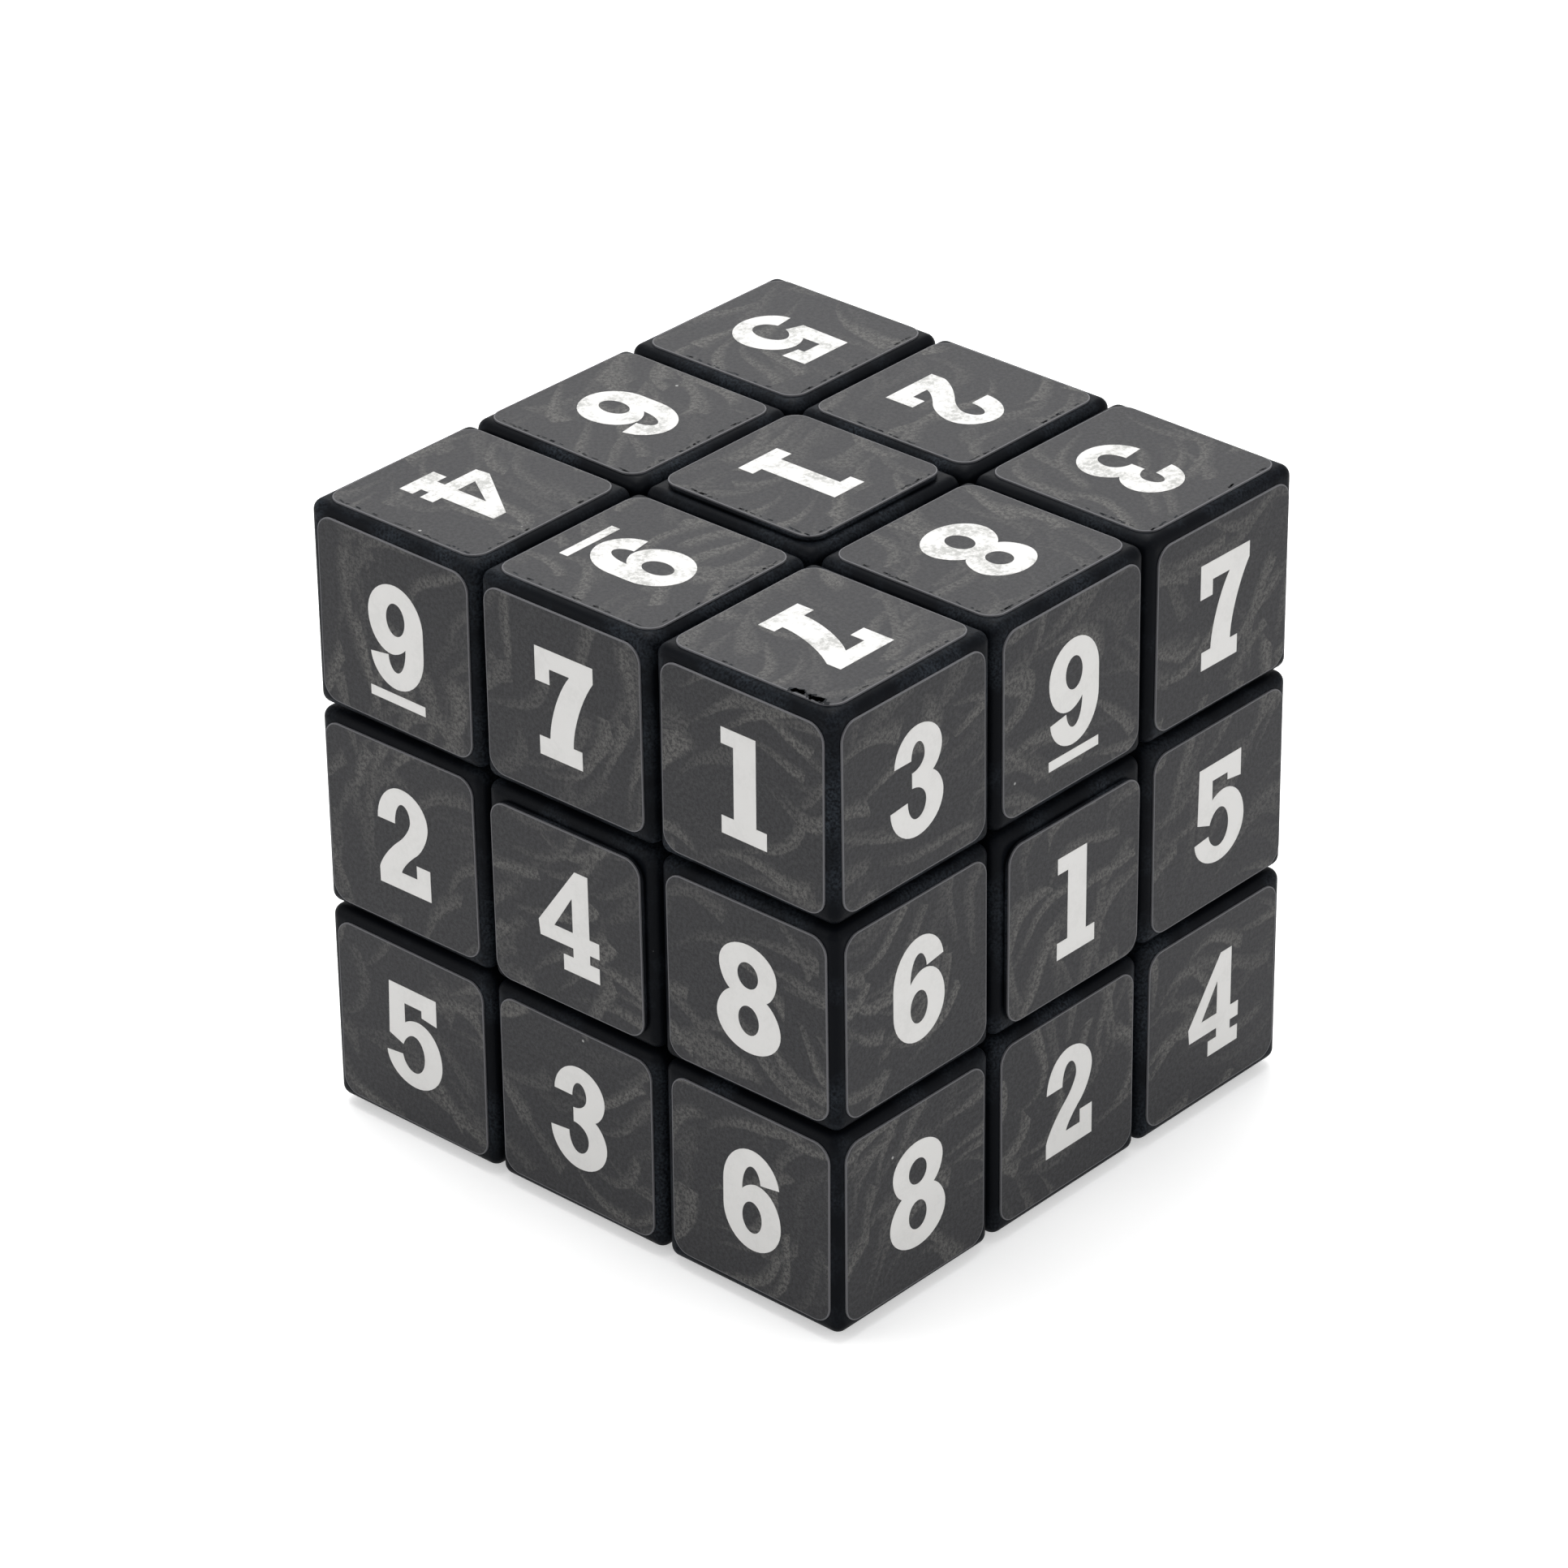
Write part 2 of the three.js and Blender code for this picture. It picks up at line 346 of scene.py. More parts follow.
def turned(profile: Profile, sides: int, ends: Ends = Ends.CAPPED) -> Shape:
    """A profile of radius and height carried round the Z axis: (r cos a, r sin a, h).

    Args:
        profile: pairs of radius and height, from the lower end up.
        sides: points on each ring.
        ends: how the two ends are closed.

    Returns:
        The closed surface.
    """
    radius, height = np.array(profile).T[..., None]
    angle = np.linspace(0, 2 * math.pi, sides, endpoint=False)
    rings = np.stack([radius * np.cos(angle), radius * np.sin(angle), height + 0 * angle], -1)
    return carried(rings, ends)


def pin(radius: float, low: float, high: float, sides: int = PIN_SIDES) -> Shape:
    """A plain round pin on the Z axis, between two heights."""
    return turned(((radius, low), (radius, high)), sides)


def square_plate(side: float, rounding: float, profile: Profile, steps: int) -> Shape:
    """A rounded square carried up a profile of inset and height, and closed at both ends.

    The outline is the four corners' arcs in turn, each at reach + (rounding - inset) (cos, sin),
    where reach is half the side less the rounding.

    Args:
        side: side of the square before any inset.
        rounding: radius of its corners.
        profile: pairs of inset and height, from the lower end up.
        steps: steps of each corner.

    Returns:
        The closed surface, with the points of each level after those of the level below.
    """
    quarter = np.arange(4)[:, None] * math.pi / 2
    angle = quarter + np.linspace(0, math.pi / 2, steps + 1)
    reach = side / 2 - rounding
    corner = math.sqrt(2) * reach * np.stack(
        [np.cos(quarter + math.pi / 4), np.sin(quarter + math.pi / 4)], -1
    )
    arc = np.stack([np.cos(angle), np.sin(angle)], -1)
    inset, height = np.array(profile).T[..., None, None, None]
    flat = corner + (rounding - inset) * arc
    lifted = np.concatenate([flat, np.broadcast_to(height, (*flat.shape[:3], 1))], -1)
    return carried(lifted.reshape(len(profile), -1, 3), Ends.CAPPED)


def new_object(name: str, data: bpy.types.ID) -> bpy.types.Object:
    """Adds an object to the scene.

    Args:
        name: its name.
        data: its mesh, curve, light or camera.

    Returns:
        The object, at the origin.
    """
    made = bpy.data.objects.new(name, data)
    bpy.context.scene.collection.objects.link(made)
    return made


def blender_mesh(name: str, shape: Shape) -> bpy.types.Mesh:
    """Makes a mesh with the points of a shape as they stand.

    Args:
        name: name of the mesh.
        shape: its points and faces.

    Returns:
        The mesh.
    """
    mesh = bpy.data.meshes.new(name)
    mesh.from_pydata(shape.points, [], shape.faces)
    return mesh


def finished_mesh(holder: bpy.types.Object) -> bpy.types.Mesh:
    """A copy of an object's mesh after its modifiers, or of a curve's after its filling."""
    graph = bpy.context.evaluated_depsgraph_get()
    return bpy.data.meshes.new_from_object(holder.evaluated_get(graph))


def shape_of(mesh: bpy.types.Mesh) -> Shape:
    """Takes the points and faces of a mesh.

    Args:
        mesh: the mesh.

    Returns:
        The same surface as a shape.
    """
    places = np.empty(len(mesh.vertices) * 3)
    corners = np.empty(len(mesh.loops), np.int32)
    starts = np.empty(len(mesh.polygons), np.int32)
    mesh.vertices.foreach_get("co", places)
    mesh.loops.foreach_get("vertex_index", corners)
    mesh.polygons.foreach_get("loop_start", starts)
    faces = [face.tolist() for face in np.split(corners, starts[1:])]
    return Shape(places.reshape(-1, 3), faces)


def combined(base: Shape, *works: tuple[Cut, Shape]) -> Shape:
    """A solid after others have been joined to it, cut out of it or met with it, in order.

    Args:
        base: the solid to start from.
        works: what each other solid does, and its shape.

    Returns:
        The closed surface that is left, without slivers.
    """
    blank = new_object("blank", blender_mesh("blank", base))
    tools = []
    for cut, shape in works:
        tool = new_object("tool", blender_mesh("tool", shape))
        tools.append(tool)
        step = blank.modifiers.new("work", "BOOLEAN")
        step.operation = cut.value
        step.solver = "EXACT"
        step.object = tool
    worked = finished_mesh(blank)
    clean = bmesh.new()
    clean.from_mesh(worked)
    bmesh.ops.remove_doubles(clean, verts=clean.verts, dist=SAME_PLACE)
    bmesh.ops.dissolve_degenerate(clean, edges=clean.edges, dist=SAME_PLACE)
    clean.to_mesh(worked)
    clean.free()
    result = shape_of(worked)
    for made in (blank, *tools):
        mesh = made.data
        bpy.data.objects.remove(made)
        bpy.data.meshes.remove(mesh)
    bpy.data.meshes.remove(worked)
    return result


def linear(hex_colour: str) -> tuple[float, float, float, float]:
    """Turns an sRGB colour to a linear one: c / 12.92 where dark, else ((c + 0.055) / 1.055) ** 2.4.

    Args:
        hex_colour: the sRGB hex value.

    Returns:
        Linear red, green and blue, and full opacity.
    """
    part = np.frombuffer(bytes.fromhex(hex_colour.lstrip("#")), np.uint8) / 255
    curve = np.where(part <= 0.04045, part / 12.92, ((part + 0.055) / 1.055) ** 2.4)
    return (*curve.tolist(), 1.0)


def add_node(
    tree: Tree, kind: str, settings: dict | None = None, links: dict | None = None
) -> bpy.types.bpy_prop_collection:
    """Adds a node with its settings and links.

    Args:
        tree: the material's or world's nodes.
        kind: the node's type, less the word ShaderNode.
        settings: values for its properties, or for its inputs by name or number. A pair of
            numbers takes a pair of values.
        links: outputs of other nodes for its inputs, by name or number.

    Returns:
        The node's outputs.
    """
    node = tree.nodes.new(f"ShaderNode{kind}")
    for name, value in (settings or {}).items():
        if isinstance(name, tuple):
            for number, limit in zip(name, value):
                node.inputs[number].default_value = limit
        elif name in node.bl_rna.properties.keys():
            setattr(node, name, value)
        else:
            node.inputs[name].default_value = value
    for name, output in (links or {}).items():
        tree.links.new(output, node.inputs[name])
    return node.outputs


def per_metre(size_mm: float) -> float:
    """Noise scale on Object coordinates for features of a size in millimetres."""
    return 1 / (size_mm * METRES)


def dusted(tree: Tree, place: Socket, scale: float, colour: Socket) -> Socket:
    """Lays sparse specks of dust on a colour: a spot in the middle of a few cells of a loose grid.

    Args:
        tree: the material's nodes.
        place: coordinates of the pattern.
        scale: cells for each unit of the coordinates.
        colour: the clean colour.

    Returns:
        The colour with its specks.
    """
    cells = add_node(tree, "TexVoronoi", {"Scale": scale}, {"Vector": place})
    chance = add_node(tree, "SeparateXYZ", links={0: cells["Color"]})[0]
    spot = add_node(tree, "MapRange", {FROM: SPECK}, {0: cells["Distance"]})[0]
    kept = add_node(tree, "MapRange", {FROM: SPECK_CHANCE}, {0: chance})[0]
    speck = add_node(tree, "Math", {"operation": "MULTIPLY"}, {0: spot, 1: kept})[0]
    return add_node(
        tree, "Mix", {"data_type": "RGBA", OVER: linear(DUST)}, {0: speck, UNDER: colour}
    )[MIXED]


@dataclass(frozen=True)
class Surface:
    """What a pattern gives to the shader.

    Attributes:
        colour: its colour.
        height: its relief.
        dullness: what its roughness follows, if it varies.
    """

    colour: Socket
    height: Socket
    dullness: Socket | None = None


@dataclass(frozen=True)
class Finish:
    """A material, made once and then found by its name.

    Attributes:
        name: the real material and how its surface was made.
        colour: main colour, sRGB.
        roughness: of the shader where nothing varies it.
        specular: level of the shader's plain reflection.
        metallic: 1 for a metal.
        relief: strength of the relief, and its depth in millimetres.
        dull_from: part of the pattern that the roughness follows.
        dull_spread: how far the roughness goes down and up with it.
    """

    name: str
    colour: str
    roughness: float
    specular: float = 0.5
    metallic: float = 0.0
    relief: Range = (0.2, 0.004)
    dull_from: Range = (0.3, 0.7)
    dull_spread: Range = (-0.05, 0.1)

    def material(self) -> bpy.types.Material:
        """Makes the material at the first call, and finds it later.

        Returns:
            The material with its pattern.
        """
        found = bpy.data.materials.get(self.name)
        if found is None:
            found = bpy.data.materials.new(self.name)
            found.use_nodes = True
            tree = found.node_tree
            shader = tree.nodes["Principled BSDF"].inputs
            shader["Roughness"].default_value = self.roughness
            shader["Specular IOR Level"].default_value = self.specular
            shader["Metallic"].default_value = self.metallic
            surface = self.pattern(tree)
            tree.links.new(surface.colour, shader["Base Color"])
            strength, depth_mm = self.relief
            bump = add_node(
                tree, "Bump", {"Strength": strength, "Distance": depth_mm * METRES},
                {"Height": surface.height},
            )[0]
            tree.links.new(bump, shader["Normal"])
            if surface.dullness is not None:
                limits = tuple(self.roughness + step for step in self.dull_spread)
                rough = add_node(
                    tree, "MapRange", {FROM: self.dull_from, TO: limits}, {0: surface.dullness}
                )[0]
                tree.links.new(rough, shader["Roughness"])
        return found

    def pattern(self, tree: Tree) -> Surface:
        """Draws the pattern; each kind of finish has its own."""
        raise NotImplementedError


@dataclass(frozen=True)
class MouldedPlastic(Finish):
    """Moulded plastic with the fine grain of the mould and a haze from handling.

    Attributes:
        haze: colour of the lighter patches.
        grain_mm: size of the mould's grain.
        haze_mm: size of the patches.
        hazy: part of the slow noise over which a patch comes in.
        sparkling: part of the grain that lets the haze show.
    """

    relief: Range = (0.6, 0.02)
    dull_spread: Range = (-0.05, 0.08)
    haze: str = "#2b3036"
    grain_mm: float = 0.22  # spark-eroded grain is nearer 0.05 mm; drawn coarser so that it shows
    haze_mm: float = 5.0
    hazy: Range = (0.45, 0.75)
    sparkling: Range = (0.35, 0.65)

    def pattern(self, tree: Tree) -> Surface:
        """Draws haze and dust in colour, grain as relief, and dulls the haze.

        Args:
            tree: the material's nodes.

        Returns:
            What goes to the shader.
        """
        place = add_node(tree, "TexCoord")["Object"]
        grain, patch = (
            add_node(tree, "TexNoise", {"Scale": per_metre(size), "Detail": detail}, {"Vector": place})[0]
            for size, detail in ((self.grain_mm, 2.0), (self.haze_mm, 4.0))
        )
        hazy = add_node(tree, "MapRange", {FROM: self.hazy}, {0: patch})[0]
        spark = add_node(tree, "MapRange", {FROM: self.sparkling}, {0: grain})[0]
        speckled = add_node(tree, "Math", {"operation": "MULTIPLY"}, {0: hazy, 1: spark})[0]
        colour = add_node(
            tree, "Mix", {"data_type": "RGBA", UNDER: linear(self.colour), OVER: linear(self.haze)},
            {0: speckled},
        )[MIXED]
        return Surface(dusted(tree, place, per_metre(DUST_MM), colour), grain, patch)


class FilmMark(Enum):
    """What the mesh of a film tells its materials."""

    SHEET = "sheet_mm"  # place on the printed sheet
    RIM = "cut_rim"  # 1 at the cut edge
    WEAR = "rubbed"  # how far the film has been rubbed


@dataclass(frozen=True)
class ChalkFilm(Finish):
    """Charcoal vinyl film, printed with chalk dabs and cut with a die.

    The print is drawn in millimetres on one large sheet, which all the films are cut from.

    Attributes:
        shade: darker colour of the grain.
        chalk: colour of the dabs.
        cut_edge: colour of the bare vinyl at the cut.
        spacing_mm: distance between the dabs of a layer.
        scatter: how far the dabs lie off an even grid, from 0 to 1.
        dab_mm: half the length and half the width of a dab.
        point: width where a dab starts, as a share of its full width.
        lower_edge: where the chalk begins across a dab and where it is full, in half widths.
        upper_edge: where the chalk ends across a dab and where it is full, in half widths.
        blunt: where the chalk is still full towards a dab's end, as a share of half its length.
        pressure: a dab's chance below which it leaves no chalk, and above which it leaves all.
        angles: least and most lean of the dabs, in degrees.
        lean_mm: distance over which the lean changes.
        lean_from: part of the slow noise that the lean follows.
        stray_angle: how far a dab's turn strays from the lean, in degrees.
        bend: how much a dab is bent, as a sag for each square millimetre of length.
        layers: layers of dabs, one over the other.
        layer_step_mm: how far each layer is moved from the one before.
        sway_mm: how far the hand strays, and over what length.
        grain_mm: size of the chalk's grain.
        dusty: part of the grain over which the chalk grows thick.
        thin_chalk: how much chalk is left between the grains.
        flecked: part of the grain over which the ground goes from its shade to its colour.
    """

    relief: Range = (0.25, 0.004)
    dull_from: Range = (0.0, 1.0)
    shade: str = "#222224"
    chalk: str = "#605f5d"
    cut_edge: str = "#606063"
    spacing_mm: float = 9.5
    scatter: float = 0.85
    dab_mm: Range = (6.4, 0.9)
    point: float = 0.15
    lower_edge: Range = (-1.15, -0.8)
    upper_edge: Range = (1.3, 0.1)
    blunt: float = 0.8
    pressure: Range = (0.15, 0.9)
    angles: Range = (-28.0, 84.0)
    lean_mm: float = 24.0
    lean_from: Range = (0.28, 0.72)
    stray_angle: float = 34.0
    bend: float = 0.03
    layers: int = 7
    layer_step_mm: Range = (17.3, 29.1)
    sway_mm: Range = (0.8, 12.0)
    grain_mm: float = 0.36  # chalk dust is finer; drawn coarser so that it shows
    dusty: Range = (0.40, 0.62)
    thin_chalk: float = 0.15
    flecked: Range = (0.36, 0.66)

    def dabs(self, tree: Tree, place: Socket, lean: Socket, layer: int) -> Socket:
        """One layer of dabs, each pointed where the chalk was set down and blunt where it was lifted.

        Every cell of a loose grid holds one dab, turned with the lean and a little more or less,
        and with its own bend. With x along the dab and y over it, chalk lies where y - bend x^2
        is within a width that grows with x, crisp at its lower edge and fading to the upper one.

        Args:
            tree: the material's nodes.
            place: place on the sheet, in millimetres.
            lean: turn of the dabs at a place.
            layer: number of the layer, which moves it off the others.

        Returns:
            How much chalk lies at a place, from 0 to 1.
        """
        length, width = self.dab_mm
        stray = math.radians(self.stray_angle)
        right, up = self.layer_step_mm
        moved = add_node(
            tree, "Mapping", {"Location": (right * layer, up * layer, 0.0)}, {"Vector": place}
        )[0]
        cells = add_node(
            tree, "TexVoronoi",
            {"voronoi_dimensions": "2D", "Scale": 1 / self.spacing_mm, "Randomness": self.scatter},
            {"Vector": moved},
        )
        chance = add_node(tree, "SeparateXYZ", links={0: cells["Color"]})
        offset = add_node(
            tree, "VectorMath", {"operation": "SUBTRACT"}, {0: moved, 1: cells["Position"]}
        )[0]
        strays = add_node(tree, "MapRange", {TO: (-stray, stray)}, {0: chance[0]})[0]
        turn = add_node(tree, "Math", {"operation": "ADD"}, {0: lean, 1: strays})[0]
        own = add_node(
            tree, "VectorRotate", {"rotation_type": "Z_AXIS"}, {"Vector": offset, "Angle": turn}
        )[0]
        along, over, _ = add_node(tree, "SeparateXYZ", links={0: own})
        square = add_node(tree, "Math", {"operation": "MULTIPLY"}, {0: along, 1: along})[0]
        bend = add_node(tree, "MapRange", {TO: (-self.bend, self.bend)}, {0: chance[1]})[0]
        sag = add_node(tree, "Math", {"operation": "MULTIPLY"}, {0: square, 1: bend})[0]
        off = add_node(tree, "Math", {"operation": "SUBTRACT"}, {0: over, 1: sag})[0]
        breadth = add_node(
            tree, "MapRange", {FROM: (-length, length), TO: (self.point * width, width)}, {0: along}
        )[0]
        share = add_node(tree, "Math", {"operation": "DIVIDE"}, {0: off, 1: breadth})[0]
        chalk = add_node(tree, "MapRange", {FROM: self.pressure}, {0: chance[2]})[0]
        fades = (
            (share, self.lower_edge),
            (share, self.upper_edge),
            (along, (length, self.blunt * length)),
            (along, (-length, 0.0)),
        )
        for value, limits in fades:
            mask = add_node(tree, "MapRange", {FROM: limits}, {0: value})[0]
            chalk = add_node(tree, "Math", {"operation": "MULTIPLY"}, {0: chalk, 1: mask})[0]
        return chalk

    def pattern(self, tree: Tree) -> Surface:
        """Draws dabs, grain, the pale cut edge and dust in colour, grain as relief, and dulls the chalk.

        Args:
            tree: the material's nodes.

        Returns:
            What goes to the shader.
        """
        place = add_node(tree, "UVMap", {"uv_map": FilmMark.SHEET.value})[0]
        stray, over_mm = self.sway_mm
        sway = add_node(
            tree, "TexNoise", {"noise_dimensions": "2D", "Scale": 1 / over_mm, "Detail": 5.0},
            {"Vector": place},
        )["Color"]
        swayed = add_node(
            tree, "VectorMath", {"operation": "MULTIPLY_ADD", 1: (2 * stray,) * 3, 2: (-stray,) * 3},
            {0: sway},
        )[0]
        bent = add_node(tree, "VectorMath", {"operation": "ADD"}, {0: place, 1: swayed})[0]
        slow = add_node(
            tree, "TexNoise", {"noise_dimensions": "2D", "Scale": 1 / self.lean_mm, "Detail": 0.0},
            {"Vector": place},
        )[0]
        leans = tuple(-math.radians(angle) for angle in self.angles)
        lean = add_node(tree, "MapRange", {FROM: self.lean_from, TO: leans}, {0: slow})[0]
        chalk = self.dabs(tree, bent, lean, 0)
        for layer in range(1, self.layers):
            more = self.dabs(tree, bent, lean, layer)
            chalk = add_node(tree, "Math", {"operation": "MAXIMUM"}, {0: chalk, 1: more})[0]
        grain = add_node(
            tree, "TexNoise",
            {"noise_dimensions": "2D", "Scale": 1 / self.grain_mm, "Detail": 3.0, "Roughness": 0.85},
            {"Vector": place},
        )[0]
        dusty = add_node(tree, "MapRange", {FROM: self.dusty, TO: (self.thin_chalk, 1.0)}, {0: grain})[0]
        amount = add_node(tree, "Math", {"operation": "MULTIPLY"}, {0: chalk, 1: dusty})[0]
        fleck = add_node(tree, "MapRange", {FROM: self.flecked}, {0: grain})[0]
        colour = add_node(
            tree, "Mix", {"data_type": "RGBA", UNDER: linear(self.shade), OVER: linear(self.colour)},
            {0: fleck},
        )[MIXED]
        rim = add_node(tree, "Attribute", {"attribute_name": FilmMark.RIM.value})["Fac"]
        for share, tint in ((amount, self.chalk), (rim, self.cut_edge)):
            colour = add_node(
                tree, "Mix", {"data_type": "RGBA", OVER: linear(tint)}, {0: share, UNDER: colour}
            )[MIXED]
        return Surface(dusted(tree, place, 1 / DUST_MM, colour), grain, amount)


@dataclass(frozen=True)
class NumeralInk(Finish):
    """Off-white screen-printed ink, thin in places and rubbed where fingers turn the cube.

    Attributes:
        bare: colour that shows where the ink is rubbed.
        rub_mm: size of the rubbed specks.
        area_mm: size of the areas that hold more of them.
        rubbed: part of both noises together over which the ink wears off.
        grain_mm: size of the grain of the ink.
    """

    bare: str = "#acaca9"
    rub_mm: float = 0.5
    area_mm: float = 3.0
    rubbed: Range = (0.23, 0.40)
    grain_mm: float = 0.25

    def pattern(self, tree: Tree) -> Surface:
        """Draws rubbed specks by the film's wear, over a faint grain.

        Args:
            tree: the material's nodes.

        Returns:
            What goes to the shader.
        """
        place = add_node(tree, "UVMap", {"uv_map": FilmMark.SHEET.value})[0]
        wear = add_node(tree, "Attribute", {"attribute_name": FilmMark.WEAR.value})["Fac"]
        speck = add_node(
            tree, "TexNoise",
            {"noise_dimensions": "2D", "Scale": 1 / self.rub_mm, "Detail": 3.0, "Roughness": 0.75},
            {"Vector": place},
        )[0]
        area, grain = (
            add_node(
                tree, "TexNoise", {"noise_dimensions": "2D", "Scale": 1 / size, "Detail": 1.0},
                {"Vector": place},
            )[0]
            for size in (self.area_mm, self.grain_mm)
        )
        both = add_node(tree, "Math", {"operation": "MULTIPLY"}, {0: speck, 1: area})[0]
        rubbed = add_node(tree, "MapRange", {FROM: self.rubbed}, {0: both})[0]
        worn = add_node(tree, "Math", {"operation": "MULTIPLY"}, {0: rubbed, 1: wear})[0]
        colour = add_node(
            tree, "Mix", {"data_type": "RGBA", UNDER: linear(self.colour), OVER: linear(self.bare)},
            {0: worn},
        )[MIXED]
        return Surface(colour, grain)


@dataclass(frozen=True)
class WorkedSteel(Finish):
    """Small steel parts with fine tool marks.

    Attributes:
        shade: darker colour in the marks.
        mark_mm: spacing of the marks.
    """

    dull_spread: Range = (-0.08, 0.1)
    shade: str = "#6e7174"
    mark_mm: float = 0.12

    def pattern(self, tree: Tree) -> Surface:
        """Draws tool marks in colour, roughness and relief.

        Args:
            tree: the material's nodes.

        Returns:
            What goes to the shader.
        """
        place = add_node(tree, "TexCoord")["Object"]
        marks = add_node(
            tree, "TexNoise", {"Scale": per_metre(self.mark_mm), "Detail": 3.0}, {"Vector": place}
        )[0]
        colour = add_node(
            tree, "Mix", {"data_type": "RGBA", UNDER: linear(self.shade), OVER: linear(self.colour)},
            {0: marks},
        )[MIXED]
        return Surface(colour, marks, marks)


# Satin ABS from a grained mould: near black with a blue cast, dull but with soft lights on its edges
BLACK_ABS = MouldedPlastic("black_abs_satin_moulded", "#090b0f", 0.45, specular=0.04)
# Matt vinyl printed to look like a wiped slate: charcoal with dusty grey smudges, dull all over
CHARCOAL_VINYL = ChalkFilm("charcoal_vinyl_printed_and_die_cut", "#353537", 0.58, specular=0.17)
# Opaque screen ink, a hair thick: flat off-white with a dry look
OFF_WHITE_INK = NumeralInk("off_white_ink_screen_printed", "#d9d8d6", 0.6, specular=0.25)
# Natural nylon: milky white, waxy and soft in its lights
NATURAL_NYLON = MouldedPlastic("natural_nylon_moulded", "#d9d6cc", 0.5, specular=0.4, haze="#c9c4b6")
# Zinc plate on turned steel: bluish grey, bright but not polished
ZINC_STEEL = WorkedSteel("zinc_plated_steel_turned", "#b4b7ba", 0.35, metallic=1.0)
# Hard-drawn wire: darker and smoother than the plated parts
SPRING_WIRE = WorkedSteel("spring_steel_drawn", "#8c8f93", 0.3, metallic=1.0, shade="#5e6164")


class Side(Enum):
    """A face of the cube: its outward direction, and the right and up of its numerals."""

    TOP = ((0, 0, 1), (0, -1, 0), (1, 0, 0))
    FRONT = ((0, -1, 0), (1, 0, 0), (0, 0, 1))
    RIGHT = ((1, 0, 0), (0, 1, 0), (0, 0, 1))
    BACK = ((0, 1, 0), (-1, 0, 0), (0, 0, 1))
    LEFT = ((-1, 0, 0), (0, -1, 0), (0, 0, 1))
    BOTTOM = ((0, 0, -1), (1, 0, 0), (0, -1, 0))

    @property
    def word(self) -> str:
        """The side's name as the pieces have it."""
        return self.name.lower()

    @property
    def out(self) -> Cell:
        """Cell of the side's centre, which is also its outward direction."""
        return self.value[0]

    @property
    def axes(self) -> Points:
        """Matrix from a film's own right, up and outward to the cube's axes."""
        out, right, up = self.value
        return np.array([right, up, out], float).T


NUMBERS: dict[Side, tuple[str, str, str]] = {
    Side.TOP: ("387", "219", "564"),
    Side.FRONT: ("971", "248", "536"),
    Side.RIGHT: ("397", "615", "824"),
    Side.BACK: ("264", "951", "738"),
    Side.LEFT: ("843", "175", "629"),
    Side.BOTTOM: ("159", "782", "346"),
}

# Outlines of the numerals about the middle of a film. A pair is reached by a straight line, and
# four numbers (bend, end) by an arc that is a quarter of an ellipse where the bend is square.
NINE: tuple[Contour, ...] = (
    (
        (-3.1, 4.8, 0.0, 4.8), (3.1, 4.8, 3.1, 1.3), (3.1, -0.9), (3.1, -4.8, -0.1, -4.8),
        (-2.7, -4.8, -2.95, -2.1), (-0.95, -1.8), (-0.85, -3.25, -0.05, -3.25),
        (1.05, -3.25, 1.05, -0.75), (0.4, -1.65, -0.6, -1.65), (-3.1, -1.65, -3.1, 1.6),
    ),
    (
        (-1.05, 3.15, -1.05, 1.65), (-1.05, 0.15, 0.0, 0.15), (1.05, 0.15, 1.05, 1.65),
        (1.05, 3.15, 0.0, 3.15),
    ),
)
UNDERLINE: Contour = ((-3.1, -5.3), (3.1, -5.3), (3.1, -6.2), (-3.1, -6.2))
